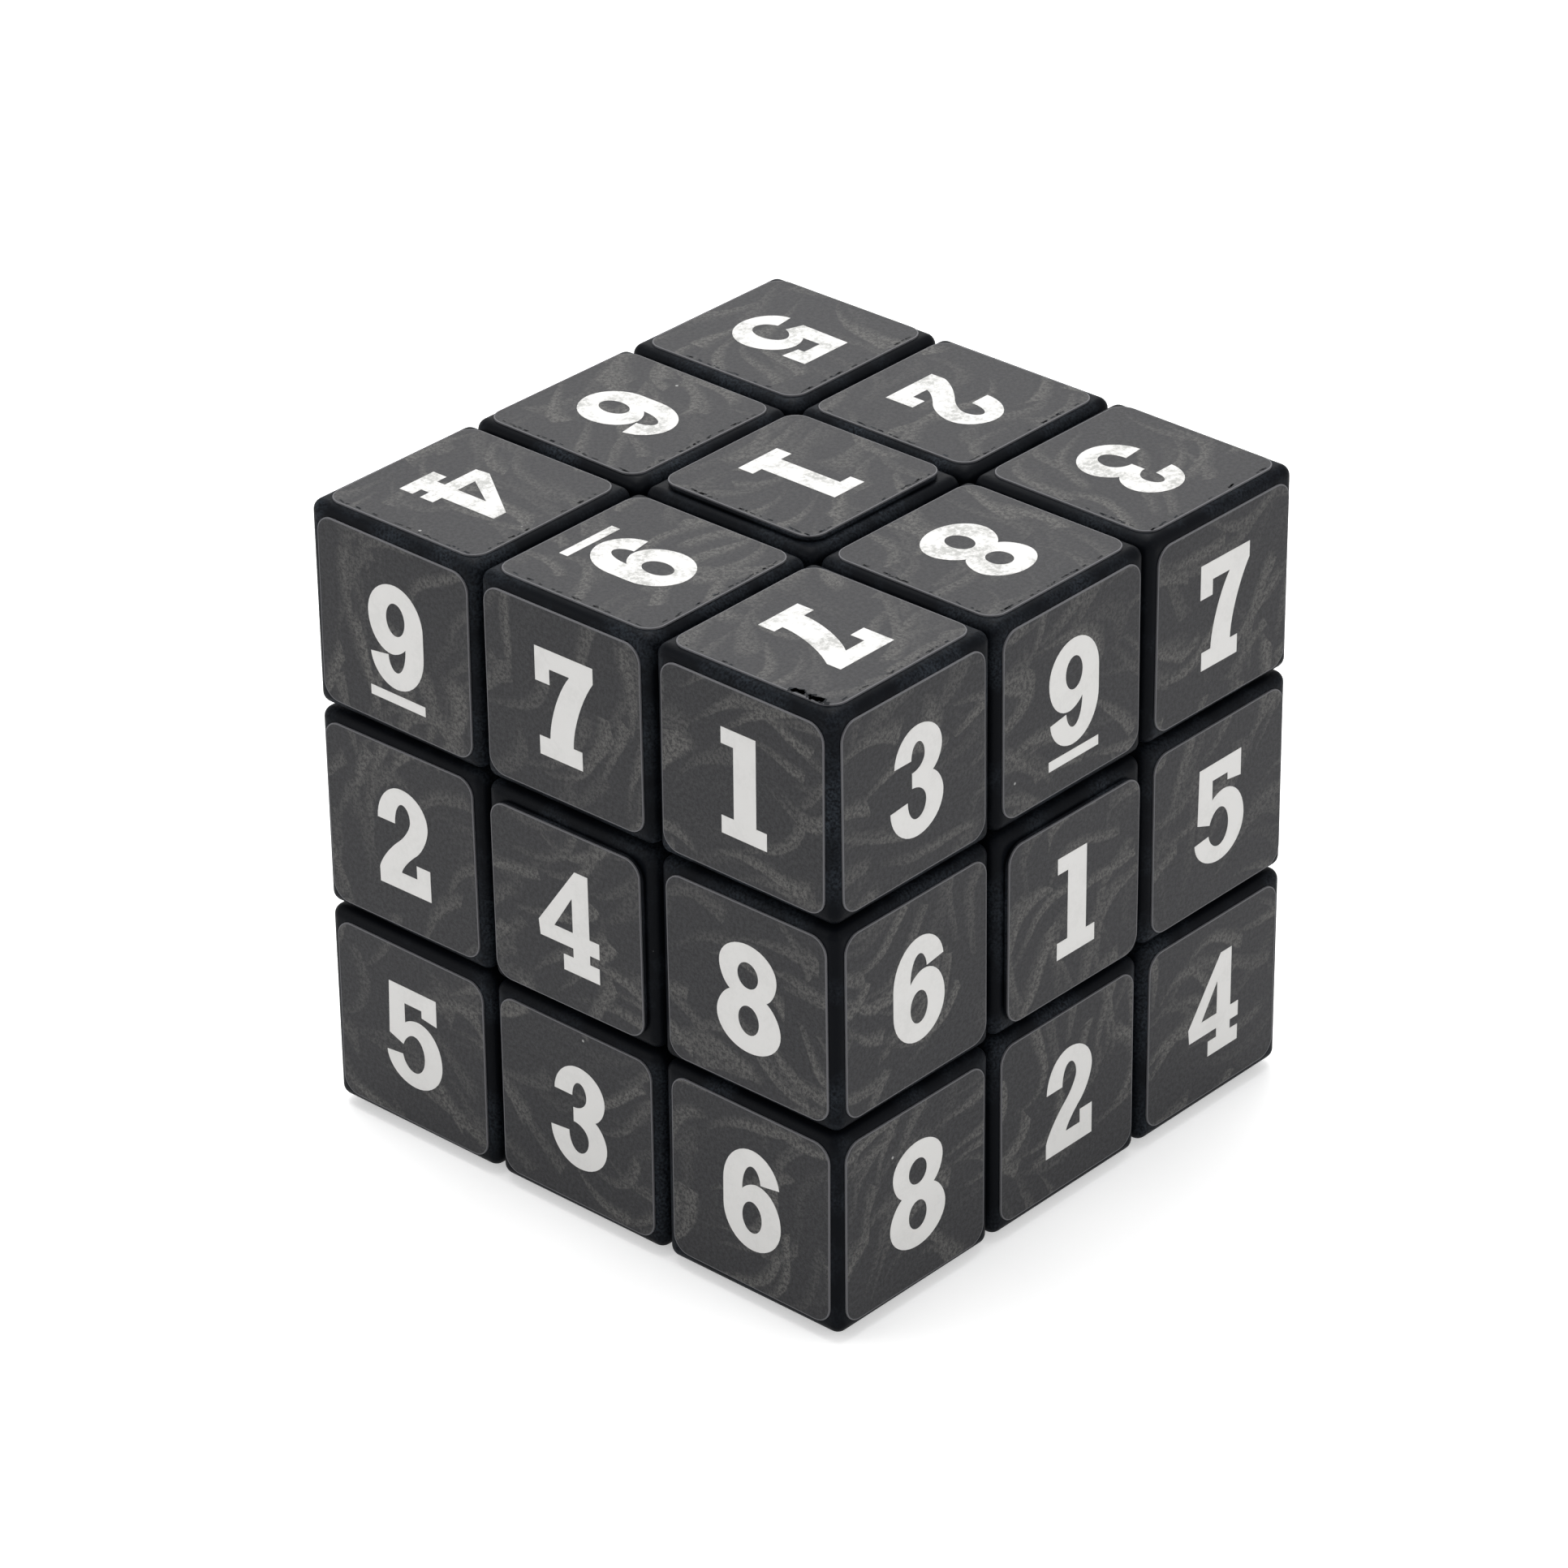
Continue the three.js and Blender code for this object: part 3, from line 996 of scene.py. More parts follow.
NUMERALS: dict[str, tuple[Contour, ...]] = {
    "1": (
        (
            (-2.35, 4.75), (1.3, 4.75), (1.3, -3.15), (2.4, -3.15), (2.4, -4.75), (-2.35, -4.75),
            (-2.35, -3.15), (-1.05, -3.15), (-1.05, 3.28), (-2.35, 3.28),
        ),
    ),
    "2": (
        (
            (-2.85, 4.83, 0.0, 4.83), (2.9, 4.83, 2.9, 2.1), (2.9, 0.4, 1.45, -0.95),
            (-0.2, -2.3, -0.4, -3.17), (1.4, -3.17), (1.4, -1.9), (2.95, -1.9), (2.95, -4.83),
            (-2.95, -4.83), (-2.95, -3.4), (-2.5, -1.9, -0.55, -0.25), (0.88, 1.0, 0.88, 2.05),
            (0.88, 3.4, 0.05, 3.4), (-0.9, 3.4, -0.9, 1.33), (-2.9, 1.33),
        ),
    ),
    "3": (
        (
            (-2.55, 4.95, 0.15, 4.95), (3.0, 4.95, 3.0, 2.35), (3.0, 0.85, 1.9, 0.25),
            (3.15, -0.45, 3.15, -2.0), (3.15, -4.95, 0.0, -4.95), (-3.05, -4.95, -3.15, -1.75),
            (-1.1, -1.55), (-1.1, -3.4, 0.0, -3.4), (1.1, -3.4, 1.1, -1.95), (1.1, -0.5, -0.56, -0.5),
            (-0.56, 0.87), (0.95, 0.87, 0.95, 2.2), (0.95, 3.45, 0.15, 3.45), (-0.65, 3.45, -0.65, 2.0),
            (-2.65, 2.0),
        ),
    ),
    "4": (
        (
            (2.3, 4.8), (2.3, -1.0), (3.37, -1.0), (3.37, -2.45), (2.3, -2.45), (2.3, -3.33),
            (3.33, -3.33), (3.33, -4.8), (-0.65, -4.8), (-0.65, -3.33), (0.46, -3.33), (0.46, -2.45),
            (-3.2, -2.45), (-3.35, -1.05), (0.85, 4.8),
        ),
        ((0.46, 2.2), (-1.6, -1.0), (0.46, -1.0)),
    ),
    "5": (
        (
            (2.75, 4.8), (2.75, 2.25), (1.0, 2.5), (1.0, 3.2), (-1.0, 3.2), (-1.0, 1.3),
            (-0.4, 1.85, 0.55, 1.85), (3.25, 1.85, 3.25, -1.55), (3.25, -4.8, 0.0, -4.8),
            (-3.1, -4.8, -3.25, -2.15), (-1.4, -1.95), (-1.2, -3.35, -0.05, -3.35),
            (1.2, -3.35, 1.2, -1.55), (1.2, 0.3, 0.0, 0.3), (-0.9, 0.3, -1.3, -0.95), (-2.9, -0.35),
            (-2.75, 4.8),
        ),
    ),
    "6": tuple(tuple(tuple(-number for number in node) for node in contour) for contour in NINE),
    "7": (
        (
            (3.17, 4.87), (3.17, 3.45), (0.85, 0.2, 0.85, -3.17), (1.8, -3.17), (1.8, -4.87),
            (-2.87, -4.87), (-2.87, -3.17), (-1.7, -3.17), (-1.6, 0.4, 0.6, 3.17), (-1.6, 3.17),
            (-1.6, 1.75), (-3.17, 1.75), (-3.17, 4.87),
        ),
    ),
    "8": (
        (
            (3.05, 5.0, 3.05, 2.55), (3.05, 0.95, 1.95, 0.3), (3.4, -0.5, 3.4, -2.2),
            (3.4, -5.0, 0.0, -5.0), (-3.4, -5.0, -3.4, -2.2), (-3.4, -0.5, -1.95, 0.3),
            (-3.05, 0.95, -3.05, 2.55), (-3.05, 5.0, 0.0, 5.0),
        ),
        (
            (-1.1, 3.35, -1.1, 2.15), (-1.1, 0.95, 0.0, 0.95), (1.1, 0.95, 1.1, 2.15),
            (1.1, 3.35, 0.0, 3.35),
        ),
        (
            (-1.1, -0.65, -1.1, -2.0), (-1.1, -3.35, 0.0, -3.35), (1.1, -3.35, 1.1, -2.0),
            (1.1, -0.65, 0.0, -0.65),
        ),
    ),
    "9": (*NINE, UNDERLINE),
}


def outline(contour: Contour, steps: int = 10) -> Points:
    """Points along a closed outline of straight and round strokes.

    An arc from P by the bend B to Q is ((1-t)^2 P + 2wt(1-t) B + t^2 Q) / ((1-t)^2 + 2wt(1-t) + t^2)
    with w the root of a half.

    Args:
        contour: the outline's nodes.
        steps: points on each arc.

    Returns:
        The points in order, two coordinates each.
    """
    t = np.linspace(0, 1, steps + 1)[1:, None]
    start_share, bend_share, end_share = (1 - t) ** 2, math.sqrt(2) * t * (1 - t), t**2
    run = []
    for node, before in zip(contour, (contour[-1], *contour[:-1])):
        start, end = np.array(before[-2:]), np.array(node[-2:])
        if len(node) == 2:
            run.append(end[None])
        else:
            mixed = start_share * start + bend_share * np.array(node[:2]) + end_share * end
            run.append(mixed / (start_share + bend_share + end_share))
    return np.concatenate(run)


def filled(contours: tuple[Contour, ...], thick: float) -> Shape:
    """A flat plate inside outlines, with holes where one outline lies in another.

    Args:
        contours: the outlines.
        thick: thickness, half above and half below the plane.

    Returns:
        The closed surface.
    """
    curve = bpy.data.curves.new("outline", "CURVE")
    curve.dimensions = "2D"
    curve.fill_mode = "BOTH"
    curve.extrude = thick / 2
    for contour in contours:
        flat = outline(contour)
        spline = curve.splines.new("POLY")
        spline.points.add(len(flat) - 1)
        level, weight = np.zeros(len(flat)), np.ones(len(flat))
        spline.points.foreach_set("co", np.column_stack([flat, level, weight]).ravel())
        spline.use_cyclic_u = True
    holder = new_object("outline", curve)
    mesh = finished_mesh(holder)
    shape = shape_of(mesh)
    bpy.data.objects.remove(holder)
    bpy.data.curves.remove(curve)
    bpy.data.meshes.remove(mesh)
    return welded(shape.points, shape.faces)


def piece_name(cell: Cell) -> str:
    """Names the piece in a cell of the cube, as the solids have it.

    Args:
        cell: steps of the piece from the middle along X, Y and Z.

    Returns:
        Its kind, and then the sides that it shows.
    """
    across, deep, high = cell
    words = (("", "top", "bottom")[high], ("", "back", "front")[deep], ("", "right", "left")[across])
    named = [word for word in words if word]
    return "_".join([("centre", "edge", "corner")[len(named) - 1], *named])


def turn_to(cell: Cell) -> Points:
    """Turn that takes a pattern piece to its cell.

    The pattern of a centre lies on +Z, of an edge between +Y and +Z, and of a corner between
    +X, +Y and +Z. Each is alike when two of its outward axes change places, so a corner that
    would be mirrored has its first two axes swapped.

    Args:
        cell: steps of the piece from the middle along X, Y and Z.

    Returns:
        The rotation matrix.
    """
    outward = [np.eye(3)[axis] * step for axis, step in enumerate(cell) if step]
    if len(outward) == 3:
        axes = np.array(outward).T
        return axes if np.linalg.det(axes) > 0 else axes[:, [1, 0, 2]]
    upright = outward[-1]
    level = outward[0] if len(outward) == 2 else np.roll(upright, 1)
    return np.array([np.cross(level, upright), level, upright]).T


def level_turn(degrees: float) -> Points:
    """Turn about the Z axis: x goes to (cos, sin) and y to (-sin, cos).

    Args:
        degrees: how far, anticlockwise.

    Returns:
        The rotation matrix.
    """
    angle = math.radians(degrees)
    cos, sin = math.cos(angle), math.sin(angle)
    return np.array([[cos, -sin, 0.0], [sin, cos, 0.0], [0.0, 0.0, 1.0]])


@dataclass
class SubAssembly:
    """A group of like pieces.

    Attributes:
        sizes: sizes shared by the whole cube.
        made: names of the pieces made so far.
    """

    sizes: CubeSizes
    made: list[str] = field(default_factory=list)

    def put(
        self, name: str, shape: Shape, turn: Points, finishes: tuple[Finish, ...], body: str,
        slot: str, nodes: tuple[str, ...] = (),
    ) -> bpy.types.Object:
        """Puts a piece in its place, with its place in its mesh.

        Args:
            name: name of the piece.
            shape: its surface, in millimetres about the middle of the cube.
            turn: rotation to its cell.
            finishes: its materials, the first for all faces.
            body: body that it rides on.
            slot: material slot of the record; not used.
            nodes: CAD nodes that it stands for.

        Returns:
            The new object.
        """
        placed = shape.moved(turn)
        lift = self.sizes.half + self.sizes.cap_proud
        placed.points = (placed.points + (0, 0, lift)) * METRES
        mesh = blender_mesh(name, placed)
        mesh.shade_smooth()
        mesh.set_sharp_from_angle(angle=SHARP_ANGLE)
        for finish in finishes:
            mesh.materials.append(finish.material())
        made = new_object(name, mesh)
        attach(made, body)
        if nodes:
            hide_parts(*nodes)
        self.made.append(name)
        LOG.info("%s on %s, %d faces", name, body, len(mesh.polygons))
        return made


@dataclass
class Mouldings(SubAssembly):
    """The black pieces: corners, edges and centres with the feet and stems that hold them.

    Attributes:
        peg_radius: peg that joins a corner's foot to its block.
        peg_length: how far the peg reaches into the block.
        round_steps: steps of each half of a rounded edge.
        recess_steps: steps of each corner of the recess for a lid.
    """

    peg_radius: float = 1.2
    peg_length: float = 6.0
    round_steps: int = 4
    recess_steps: int = 4

    def block(self, low: Corner, high: Corner) -> Shape:
        """A block with the rounding of the mould on all its edges."""
        return rounded_block(low, high, self.sizes.edge_round, self.round_steps)

    def foot(self, reach: float) -> Shape:
        """A foot between the two spheres of the feet.

        Args:
            reach: how far it goes along X; from the middle plane to both sides, unless it ends
                at the outer sphere as a corner's does.

        Returns:
            The closed surface.
        """
        s = self.sizes
        low = (s.foot_start if reach == s.foot_top else -reach, s.foot_start, s.foot_start)
        plain = sharp_block(low, (reach, s.foot_top, s.foot_top))
        return combined(plain, (Cut.KEEP_SHARED, ball(s.foot_top)), (Cut.REMOVE, ball(s.foot_bottom)))

    def diagonal_pin(self, radius: float, low: float, high: float) -> Shape:
        """A pin along the line from the middle of the cube through its corner.

        Args:
            radius: its radius.
            low: where it starts on that line.
            high: where it ends.

        Returns:
            The closed surface.
        """
        out = np.ones(3) / math.sqrt(3)
        level = np.array([1, -1, 0]) / math.sqrt(2)
        turn = np.array([level, np.cross(out, level), out]).T
        return pin(radius, low, high).moved(turn)

    def edge(self) -> Shape:
        """An edge between +Y and +Z, with a foot that reaches under the two centres beside it.

        Returns:
            The closed surface.
        """
        s = self.sizes
        block = self.block((-s.middle, s.inner, s.inner), (s.middle, s.half, s.half))
        top = (s.roof + s.slide + s.fit) / math.sqrt(2) + s.slide
        width = s.stem_radius - s.fit
        neck = sharp_block((-width, s.inner, s.inner), (width, top, top))
        return combined(
            block, (Cut.REMOVE, ball(s.roof)), (Cut.JOIN, neck), (Cut.JOIN, self.foot(s.stem_radius))
        )

    def corner(self) -> Shape:
        """The block of a corner between +X, +Y and +Z, with a socket for the peg of its foot.

        Returns:
            The closed surface.
        """
        s = self.sizes
        block = self.block((s.inner,) * 3, (s.half,) * 3)
        socket = self.diagonal_pin(
            self.peg_radius + s.fit, s.foot_bottom, s.foot_top + self.peg_length + s.fit
        )
        return combined(block, (Cut.REMOVE, ball(s.foot_top + s.fit)), (Cut.REMOVE, socket))

    def corner_foot(self) -> Shape:
        """The foot of a corner, which reaches under the three edges beside it, with its peg.

        Returns:
            The closed surface.
        """
        s = self.sizes
        peg = self.diagonal_pin(self.peg_radius, s.foot_top - s.foot_thick / 2, s.foot_top + self.peg_length)
        return combined(self.foot(s.foot_top), (Cut.JOIN, peg))

    def centre(self) -> Shape:
        """A centre on +Z: a block on a hollow stem, with a square recess for the plug of its lid.

        Returns:
            The closed surface.
        """
        s = self.sizes
        block = self.block((-s.middle, -s.middle, s.inner), (s.middle, s.middle, s.half))
        stem = pin(s.stem_radius, s.foot_bottom, s.recess_floor - s.fit, STEM_SIDES)
        bore = pin(s.head_radius + s.spring_play, s.seat, s.recess_floor + s.fit, STEM_SIDES)
        hole = pin(s.hole_radius, s.foot_bottom - s.fit, s.seat + s.fit)
        recess = square_plate(
            s.plug_side + 2 * s.fit, s.cap_round - s.cap_ledge + s.fit,
            ((0.0, s.recess_floor), (0.0, s.half + s.fit)), self.recess_steps,
        )
        return combined(
            block, (Cut.REMOVE, ball(s.roof)), (Cut.JOIN, stem), (Cut.REMOVE, bore),
            (Cut.REMOVE, hole), (Cut.REMOVE, recess),
        )

    def build(self) -> None:
        """Makes each pattern once and puts a copy in every cell."""
        patterns = {"centre": self.centre(), "edge": self.edge(), "corner": self.corner()}
        foot = self.corner_foot()
        for cell in product((1, 0, -1), repeat=3):
            if not any(cell):
                continue
            body = piece_name(cell)
            kind = body.split("_")[0]
            shapes = {body: patterns[kind]}
            if kind == "corner":
                shapes[body.replace("corner", "corner_foot")] = foot
            for node, shape in shapes.items():
                self.put(
                    f"{node}_moulding", shape, turn_to(cell), (BLACK_ABS,), body, "black_plastic", (node,)
                )


@dataclass
class Lids(SubAssembly):
    """The six lids that close the centres and carry their films.

    Attributes:
        edge_round: rounding of the lid's upper edge.
        edge_points: points of that rounding.
        corner_steps: steps of each corner of the plate, and of the plug.
    """

    edge_round: float = 0.2
    edge_points: int = 5
    corner_steps: tuple[int, int] = (10, 4)

    def lid(self) -> Shape:
        """A lid on +Z: a rounded square plate over a plug that sits in the centre's recess.

        Returns:
            The closed surface.
        """
        s = self.sizes
        plate_steps, plug_steps = self.corner_steps
        angle = np.linspace(0, math.pi / 2, self.edge_points)
        inset = self.edge_round * (1 - np.cos(angle))
        height = s.cap_top - self.edge_round * (1 - np.sin(angle))
        rim = ((0.0, s.half + s.fit), *zip(inset.tolist(), height.tolist()))
        plate = square_plate(s.cap_side, s.cap_round, rim, plate_steps)
        depth = ((0.0, s.half - s.cap_plug), (0.0, s.half + s.cap_proud / 2))
        plug = square_plate(s.plug_side, s.cap_round - s.cap_ledge, depth, plug_steps)
        return combined(plate, (Cut.JOIN, plug))

    def build(self) -> None:
        """Puts a lid on each centre."""
        lid = self.lid()
        for side in Side:
            node = f"cap_{side.word}"
            self.put(
                f"{node}_lid", lid, turn_to(side.out), (BLACK_ABS,), f"centre_{side.word}",
                "cap_plastic", (node,),
            )


@dataclass
class Works(SubAssembly):
    """What holds the cube together inside: the core, and a screw, spring and washer for each centre.

    Attributes:
        hub_radius: ball in the middle of the core.
        arm_soft: bevel at the end of an arm of the core.
        tip: distance of a screw's tip from the middle.
        point: radius of the tip, and length of the taper behind it.
        head_thick: height of a screw's head.
        head_soft: bevel at the head's upper edge.
        head_room: air between the head and the lid over it.
        drive: length, width and depth of the cross recess.
        washer_thick: thickness of a washer.
        turns: turns of a spring.
        coil_points: points along a spring.
        wire_sides: points round its wire.
    """

    hub_radius: float = 7.5
    arm_soft: float = 0.4
    tip: float = 6.0
    point: Range = (0.4, 1.5)
    head_thick: float = 1.6
    head_soft: float = 0.25
    head_room: float = 1.5
    drive: tuple[float, float, float] = (2.8, 0.7, 0.8)
    washer_thick: float = 0.5
    turns: float = 3.5
    coil_points: int = 85
    wire_sides: int = 10

    @property
    def head_top(self) -> float:
        """Height of a screw's head."""
        return self.sizes.recess_floor - self.head_room

    @property
    def washer_under(self) -> float:
        """Height of the lower face of a washer."""
        return self.head_top - self.head_thick - self.sizes.fit - self.washer_thick

    def core(self) -> Shape:
        """A ball with six arms, each with a pilot hole for its screw.

        Returns:
            The closed surface.
        """
        s = self.sizes
        end = s.foot_bottom - s.fit
        soft = self.arm_soft
        arm = turned(
            ((s.stem_radius, 0.0), (s.stem_radius, end - soft), (s.stem_radius - soft, end)), STEM_SIDES
        )
        hole = pin(s.hole_radius, self.tip - s.fit, end + s.fit)
        turns = [turn_to(side.out) for side in Side]
        return combined(
            ball(self.hub_radius),
            *((Cut.JOIN, arm.moved(turn)) for turn in turns),
            *((Cut.REMOVE, hole.moved(turn)) for turn in turns),
        )

    def screw(self) -> Shape:
        """A screw along +Z: a pointed shank, a flat head with a soft edge, and a cross recess.

        Returns:
            The closed surface.
        """
        s = self.sizes
        under = self.head_top - self.head_thick
        tip_radius, taper = self.point
        profile = (
            (tip_radius, self.tip), (s.shank_radius, self.tip + taper), (s.shank_radius, under),
            (s.head_radius, under), (s.head_radius, self.head_top - self.head_soft),
            (s.head_radius - self.head_soft, self.head_top),
        )
        length, width, depth = self.drive
        floor, over = self.head_top - depth, self.head_top + s.fit
        slots = (
            sharp_block((-x / 2, -y / 2, floor), (x / 2, y / 2, over))
            for x, y in ((length, width), (width, length))
        )
        return combined(turned(profile, PIN_SIDES), *((Cut.REMOVE, slot) for slot in slots))

    def washer(self) -> Shape:
        """A flat ring under the head of a screw.

        Returns:
            The closed surface.
        """
        s = self.sizes
        low, high = self.washer_under, self.washer_under + self.washer_thick
        ring = ((s.hole_radius, low), (s.head_radius, low), (s.head_radius, high), (s.hole_radius, high))
        return turned(ring, PIN_SIDES, Ends.JOINED)

    def spring(self) -> Shape:
        """A tube of wire whose middle runs at the coil's radius and rises evenly over its turns.

        The wire's section is a circle in the plane of the axis: (R + w cos b) out, w sin b up.

        Returns:
            The closed surface.
        """
        s = self.sizes
        low = s.seat + s.fit + s.spring_wire / 2
        high = self.washer_under - s.fit - s.spring_wire / 2
        angle = np.linspace(0, 2 * math.pi * self.turns, self.coil_points)[:, None]
        round_wire = np.linspace(0, -2 * math.pi, self.wire_sides, endpoint=False)
        out = s.coil_radius + s.spring_wire / 2 * np.cos(round_wire)
        rise = np.linspace(low, high, self.coil_points)[:, None]
        up = rise + s.spring_wire / 2 * np.sin(round_wire)
        return carried(np.stack([out * np.cos(angle), out * np.sin(angle), up], -1), Ends.CAPPED)

    def build(self) -> None:
        """Puts the core in the middle and the small parts on each axis."""
        self.put(
            "core_moulding", self.core(), np.eye(3), (NATURAL_NYLON,), "core", "core_plastic", ("core",)
        )
        parts = (
            ("screw", self.screw(), ZINC_STEEL),
            ("washer", self.washer(), ZINC_STEEL),
            ("spring", self.spring(), SPRING_WIRE),
        )
        for (part, shape, finish), side in product(parts, Side):
            node = f"{part}_{side.word}"
            self.put(
                f"{node}_steel", shape, turn_to(side.out), (finish,), "core", f"{part}_steel", (node,)
            )


@dataclass
class Films(SubAssembly):
    """The 54 films, each with its printed numeral.

    Attributes:
        sides: side of a film on a block, and on a lid.
        rounding: corners of a film.
        corner_steps: steps of each corner.
        cut_soft: bevel of the cut edge.
        edge_line: width of the pale line at the cut.
        ink_thick: how far the ink stands out.
        ink_sink: how far the ink lies in the film.
        ink_lay: how far the print lies to the right of the middle.
        lay: how far a film is laid off its place on a block, and on a lid.
        lay_turn: how far a film is turned, in degrees.
        wear: rubbing of the films on the top, and elsewhere.
        nick_shade_count: fewest and most slivers of a rubbed film, partly nicks and partly painted shade of
            its raised cut edge.
        nick_shade_long: least and most length of a sliver.
        nick_shade_wide: least and most width of a sliver.
        nick_shade_inset: least and most distance of a sliver from the film's edge.
        nick_shade_turn: spread of the slivers' turn from that edge, in radians.
        nick_shade_upper: share of the slivers that lie along the upper edge.
        nick_shade_stand: how far a sliver stands out, which keeps it clear of the film.
        chipped: side, row and column of the film with a chipped corner.
        chips: flakes that the chipped corner has lost.
        chip_reach: least and most distance of a flake from that corner.
        chip_inset: least and most distance of a flake from the film's edge.
        chip_size: least and most length and width of a flake.
        chip_turn: most turn of a flake, in radians.
        sheet_step: distance on the printed sheet between the films of two faces.
        seeds: where the chance of the laying starts, and that of the nicks and the painted edge shade.
    """

    sides: Range = (17.0, 16.5)
    rounding: float = 1.6
    corner_steps: int = 8
    cut_soft: float = 0.03
    edge_line: float = 0.12
    ink_thick: float = 0.02
    ink_sink: float = 0.01
    ink_lay: float = 0.2
    lay: Range = (0.12, 0.05)
    lay_turn: float = 0.5
    wear: Range = (1.0, 0.12)
    # Dark slivers along the right and upper edges of the top films: partly nicks, partly painted shade of
    # the raised cut edge
    nick_shade_count: tuple[int, int] = (14, 40)
    nick_shade_long: Range = (0.15, 0.7)
    nick_shade_wide: Range = (0.1, 0.22)
    nick_shade_inset: Range = (0.28, 0.44)
    nick_shade_turn: float = 0.15
    nick_shade_upper: float = 0.5
    nick_shade_stand: float = 0.004
    chipped: tuple[Side, int, int] = (Side.TOP, 0, 2)
    chips: int = 24
    chip_reach: Range = (0.8, 4.8)
    chip_inset: Range = (0.2, 0.7)
    chip_size: Range = (0.2, 0.7)
    chip_turn: float = 1.5
    sheet_step: float = 83.0
    seeds: tuple[int, int] = (54, 9)

    def film(self, side: float) -> tuple[Shape, Points]:
        """A film on its plane: a plate with a soft cut edge, and its rim at every point.

        Args:
            side: side of the square.

        Returns:
            The closed surface, and 1 at each point of the cut and 0 within.
        """
        thick, soft, line = self.sizes.film_thick, self.cut_soft, self.edge_line
        profile = ((0.0, 0.0), (0.0, thick - soft), (soft, thick), (line - soft, thick), (line, thick))
        plate = square_plate(side, self.rounding, profile, self.corner_steps)
        rim = np.repeat([1.0, 1.0, 1.0, 1.0, 0.0], len(plate.points) // len(profile))
        return plate, rim

    def numeral(self, number: str) -> Shape:
        """A printed numeral, standing on a film that lies on its plane.

        Args:
            number: the numeral.

        Returns:
            The closed surface.
        """
        thick = self.ink_thick + self.ink_sink
        plate = filled(NUMERALS[number], thick)
        level = self.sizes.film_thick + self.ink_thick - thick / 2
        return Shape(plate.points + (self.ink_lay, 0.0, level), plate.faces)

    def nicks(self, side: float, chipped: bool, draw: np.random.Generator) -> Shape:
        """Slivers of the black plastic along a film's right and upper edges: partly nicks, partly painted
        shade of its raised cut edge.

        Sliver i is a unit box times its size, turned by its angle and set at its place. The places
        lie inside the film's right edge and its upper one, and a chipped corner has larger flakes
        beside them.

        Args:
            side: side of the film.
            chipped: whether the corner between those edges is chipped.
            draw: source of chance.

        Returns:
            All the slivers as one surface.
        """
        edge = side / 2
        count = int(draw.integers(*self.nick_shade_count))
        along = draw.uniform(self.rounding - edge, edge - self.rounding / 2, count)
        place = np.stack([edge - draw.uniform(*self.nick_shade_inset, count), along], -1)
        size = np.stack([draw.uniform(*self.nick_shade_wide, count), draw.uniform(*self.nick_shade_long, count)], -1)
        angle = draw.normal(0.0, self.nick_shade_turn, count)
        upper = draw.random(count) < self.nick_shade_upper
        place[upper], size[upper] = place[upper, ::-1], size[upper, ::-1]
        if chipped:
            along = edge - draw.uniform(*self.chip_reach, self.chips)
            flake_place = np.stack([edge - draw.uniform(*self.chip_inset, self.chips), along], -1)
            place = np.concatenate([place, flake_place])
            size = np.concatenate([size, draw.uniform(*self.chip_size, (self.chips, 2))])
            angle = np.concatenate([angle, draw.uniform(-self.chip_turn, self.chip_turn, self.chips)])
        box = rounded_block((-0.5,) * 3, (0.5,) * 3, 0.0, 1, rest=1.0)
        x, y = np.moveaxis(box.points[:, :2] * size[:, None], -1, 0)
        cos, sin = np.cos(angle)[:, None], np.sin(angle)[:, None]
        spun = np.stack([cos * x - sin * y, sin * x + cos * y], -1)
        level = self.sizes.film_thick + self.nick_shade_stand * 2 * box.points[:, 2:]
        levels = np.broadcast_to(level, (len(size), *level.shape))
        points = np.concatenate([spun + place[:, None], levels], -1)
        faces = np.array(box.faces) + len(box.points) * np.arange(len(size))[:, None, None]
        return Shape(points.reshape(-1, 3), faces.reshape(-1, 4).tolist())

    def build(self) -> None:
        """Lays a film with its numeral on every cell of every face."""
        s = self.sizes
        films = [self.film(side) for side in self.sides]
        numerals = {number: self.numeral(number) for number in NUMERALS}
        draw, nick_shade_draw = (np.random.default_rng(seed) for seed in self.seeds)
        cell_step = (s.inner + s.half) / 2
        for side, (row, down), column in product(Side, enumerate((1, 0, -1)), range(3)):
            across = column - 1
            on_lid = across == 0 and down == 0
            plate, rim = films[on_lid]
            layers = [plate, numerals[NUMBERS[side][row][column]]]
            # The top films get dark slivers along their edges: partly nicks, partly painted shade of the
            # raised cut edge
            if side is Side.TOP:
                chipped = (side, row, column) == self.chipped
                layers.append(self.nicks(self.sides[on_lid], chipped, nick_shade_draw))
            shift = draw.uniform(-1, 1, 2) * self.lay[on_lid]
            turn = level_turn(draw.uniform(-1, 1) * self.lay_turn)
            level = s.cap_top if on_lid else s.half
            middle = np.array([across * cell_step + shift[0], down * cell_step + shift[1], level])
            laid = joined(layers).moved(turn, middle)
            cell = np.rint(side.axes @ (across, down, 1)).astype(int)
            finishes = (CHARCOAL_VINYL, OFF_WHITE_INK, BLACK_ABS)[: len(layers)]
            made = self.put(
                f"film_{side.word}_{row + 1}_{column + 1}", laid, side.axes, finishes,
                piece_name(tuple(cell)), "sticker_film",
            )
            finish_of = np.repeat(np.arange(len(layers)), [len(layer.faces) for layer in layers])
            made.data.polygons.foreach_set("material_index", finish_of.astype(np.int32))
            values = {
                FilmMark.RIM: np.pad(rim, (0, len(laid.points) - len(rim))),
                FilmMark.WEAR: np.full(len(laid.points), self.wear[side is not Side.TOP]),
            }
            self.mark(made.data, laid.points[:, :2] + self.sheet_step * list(Side).index(side), values)

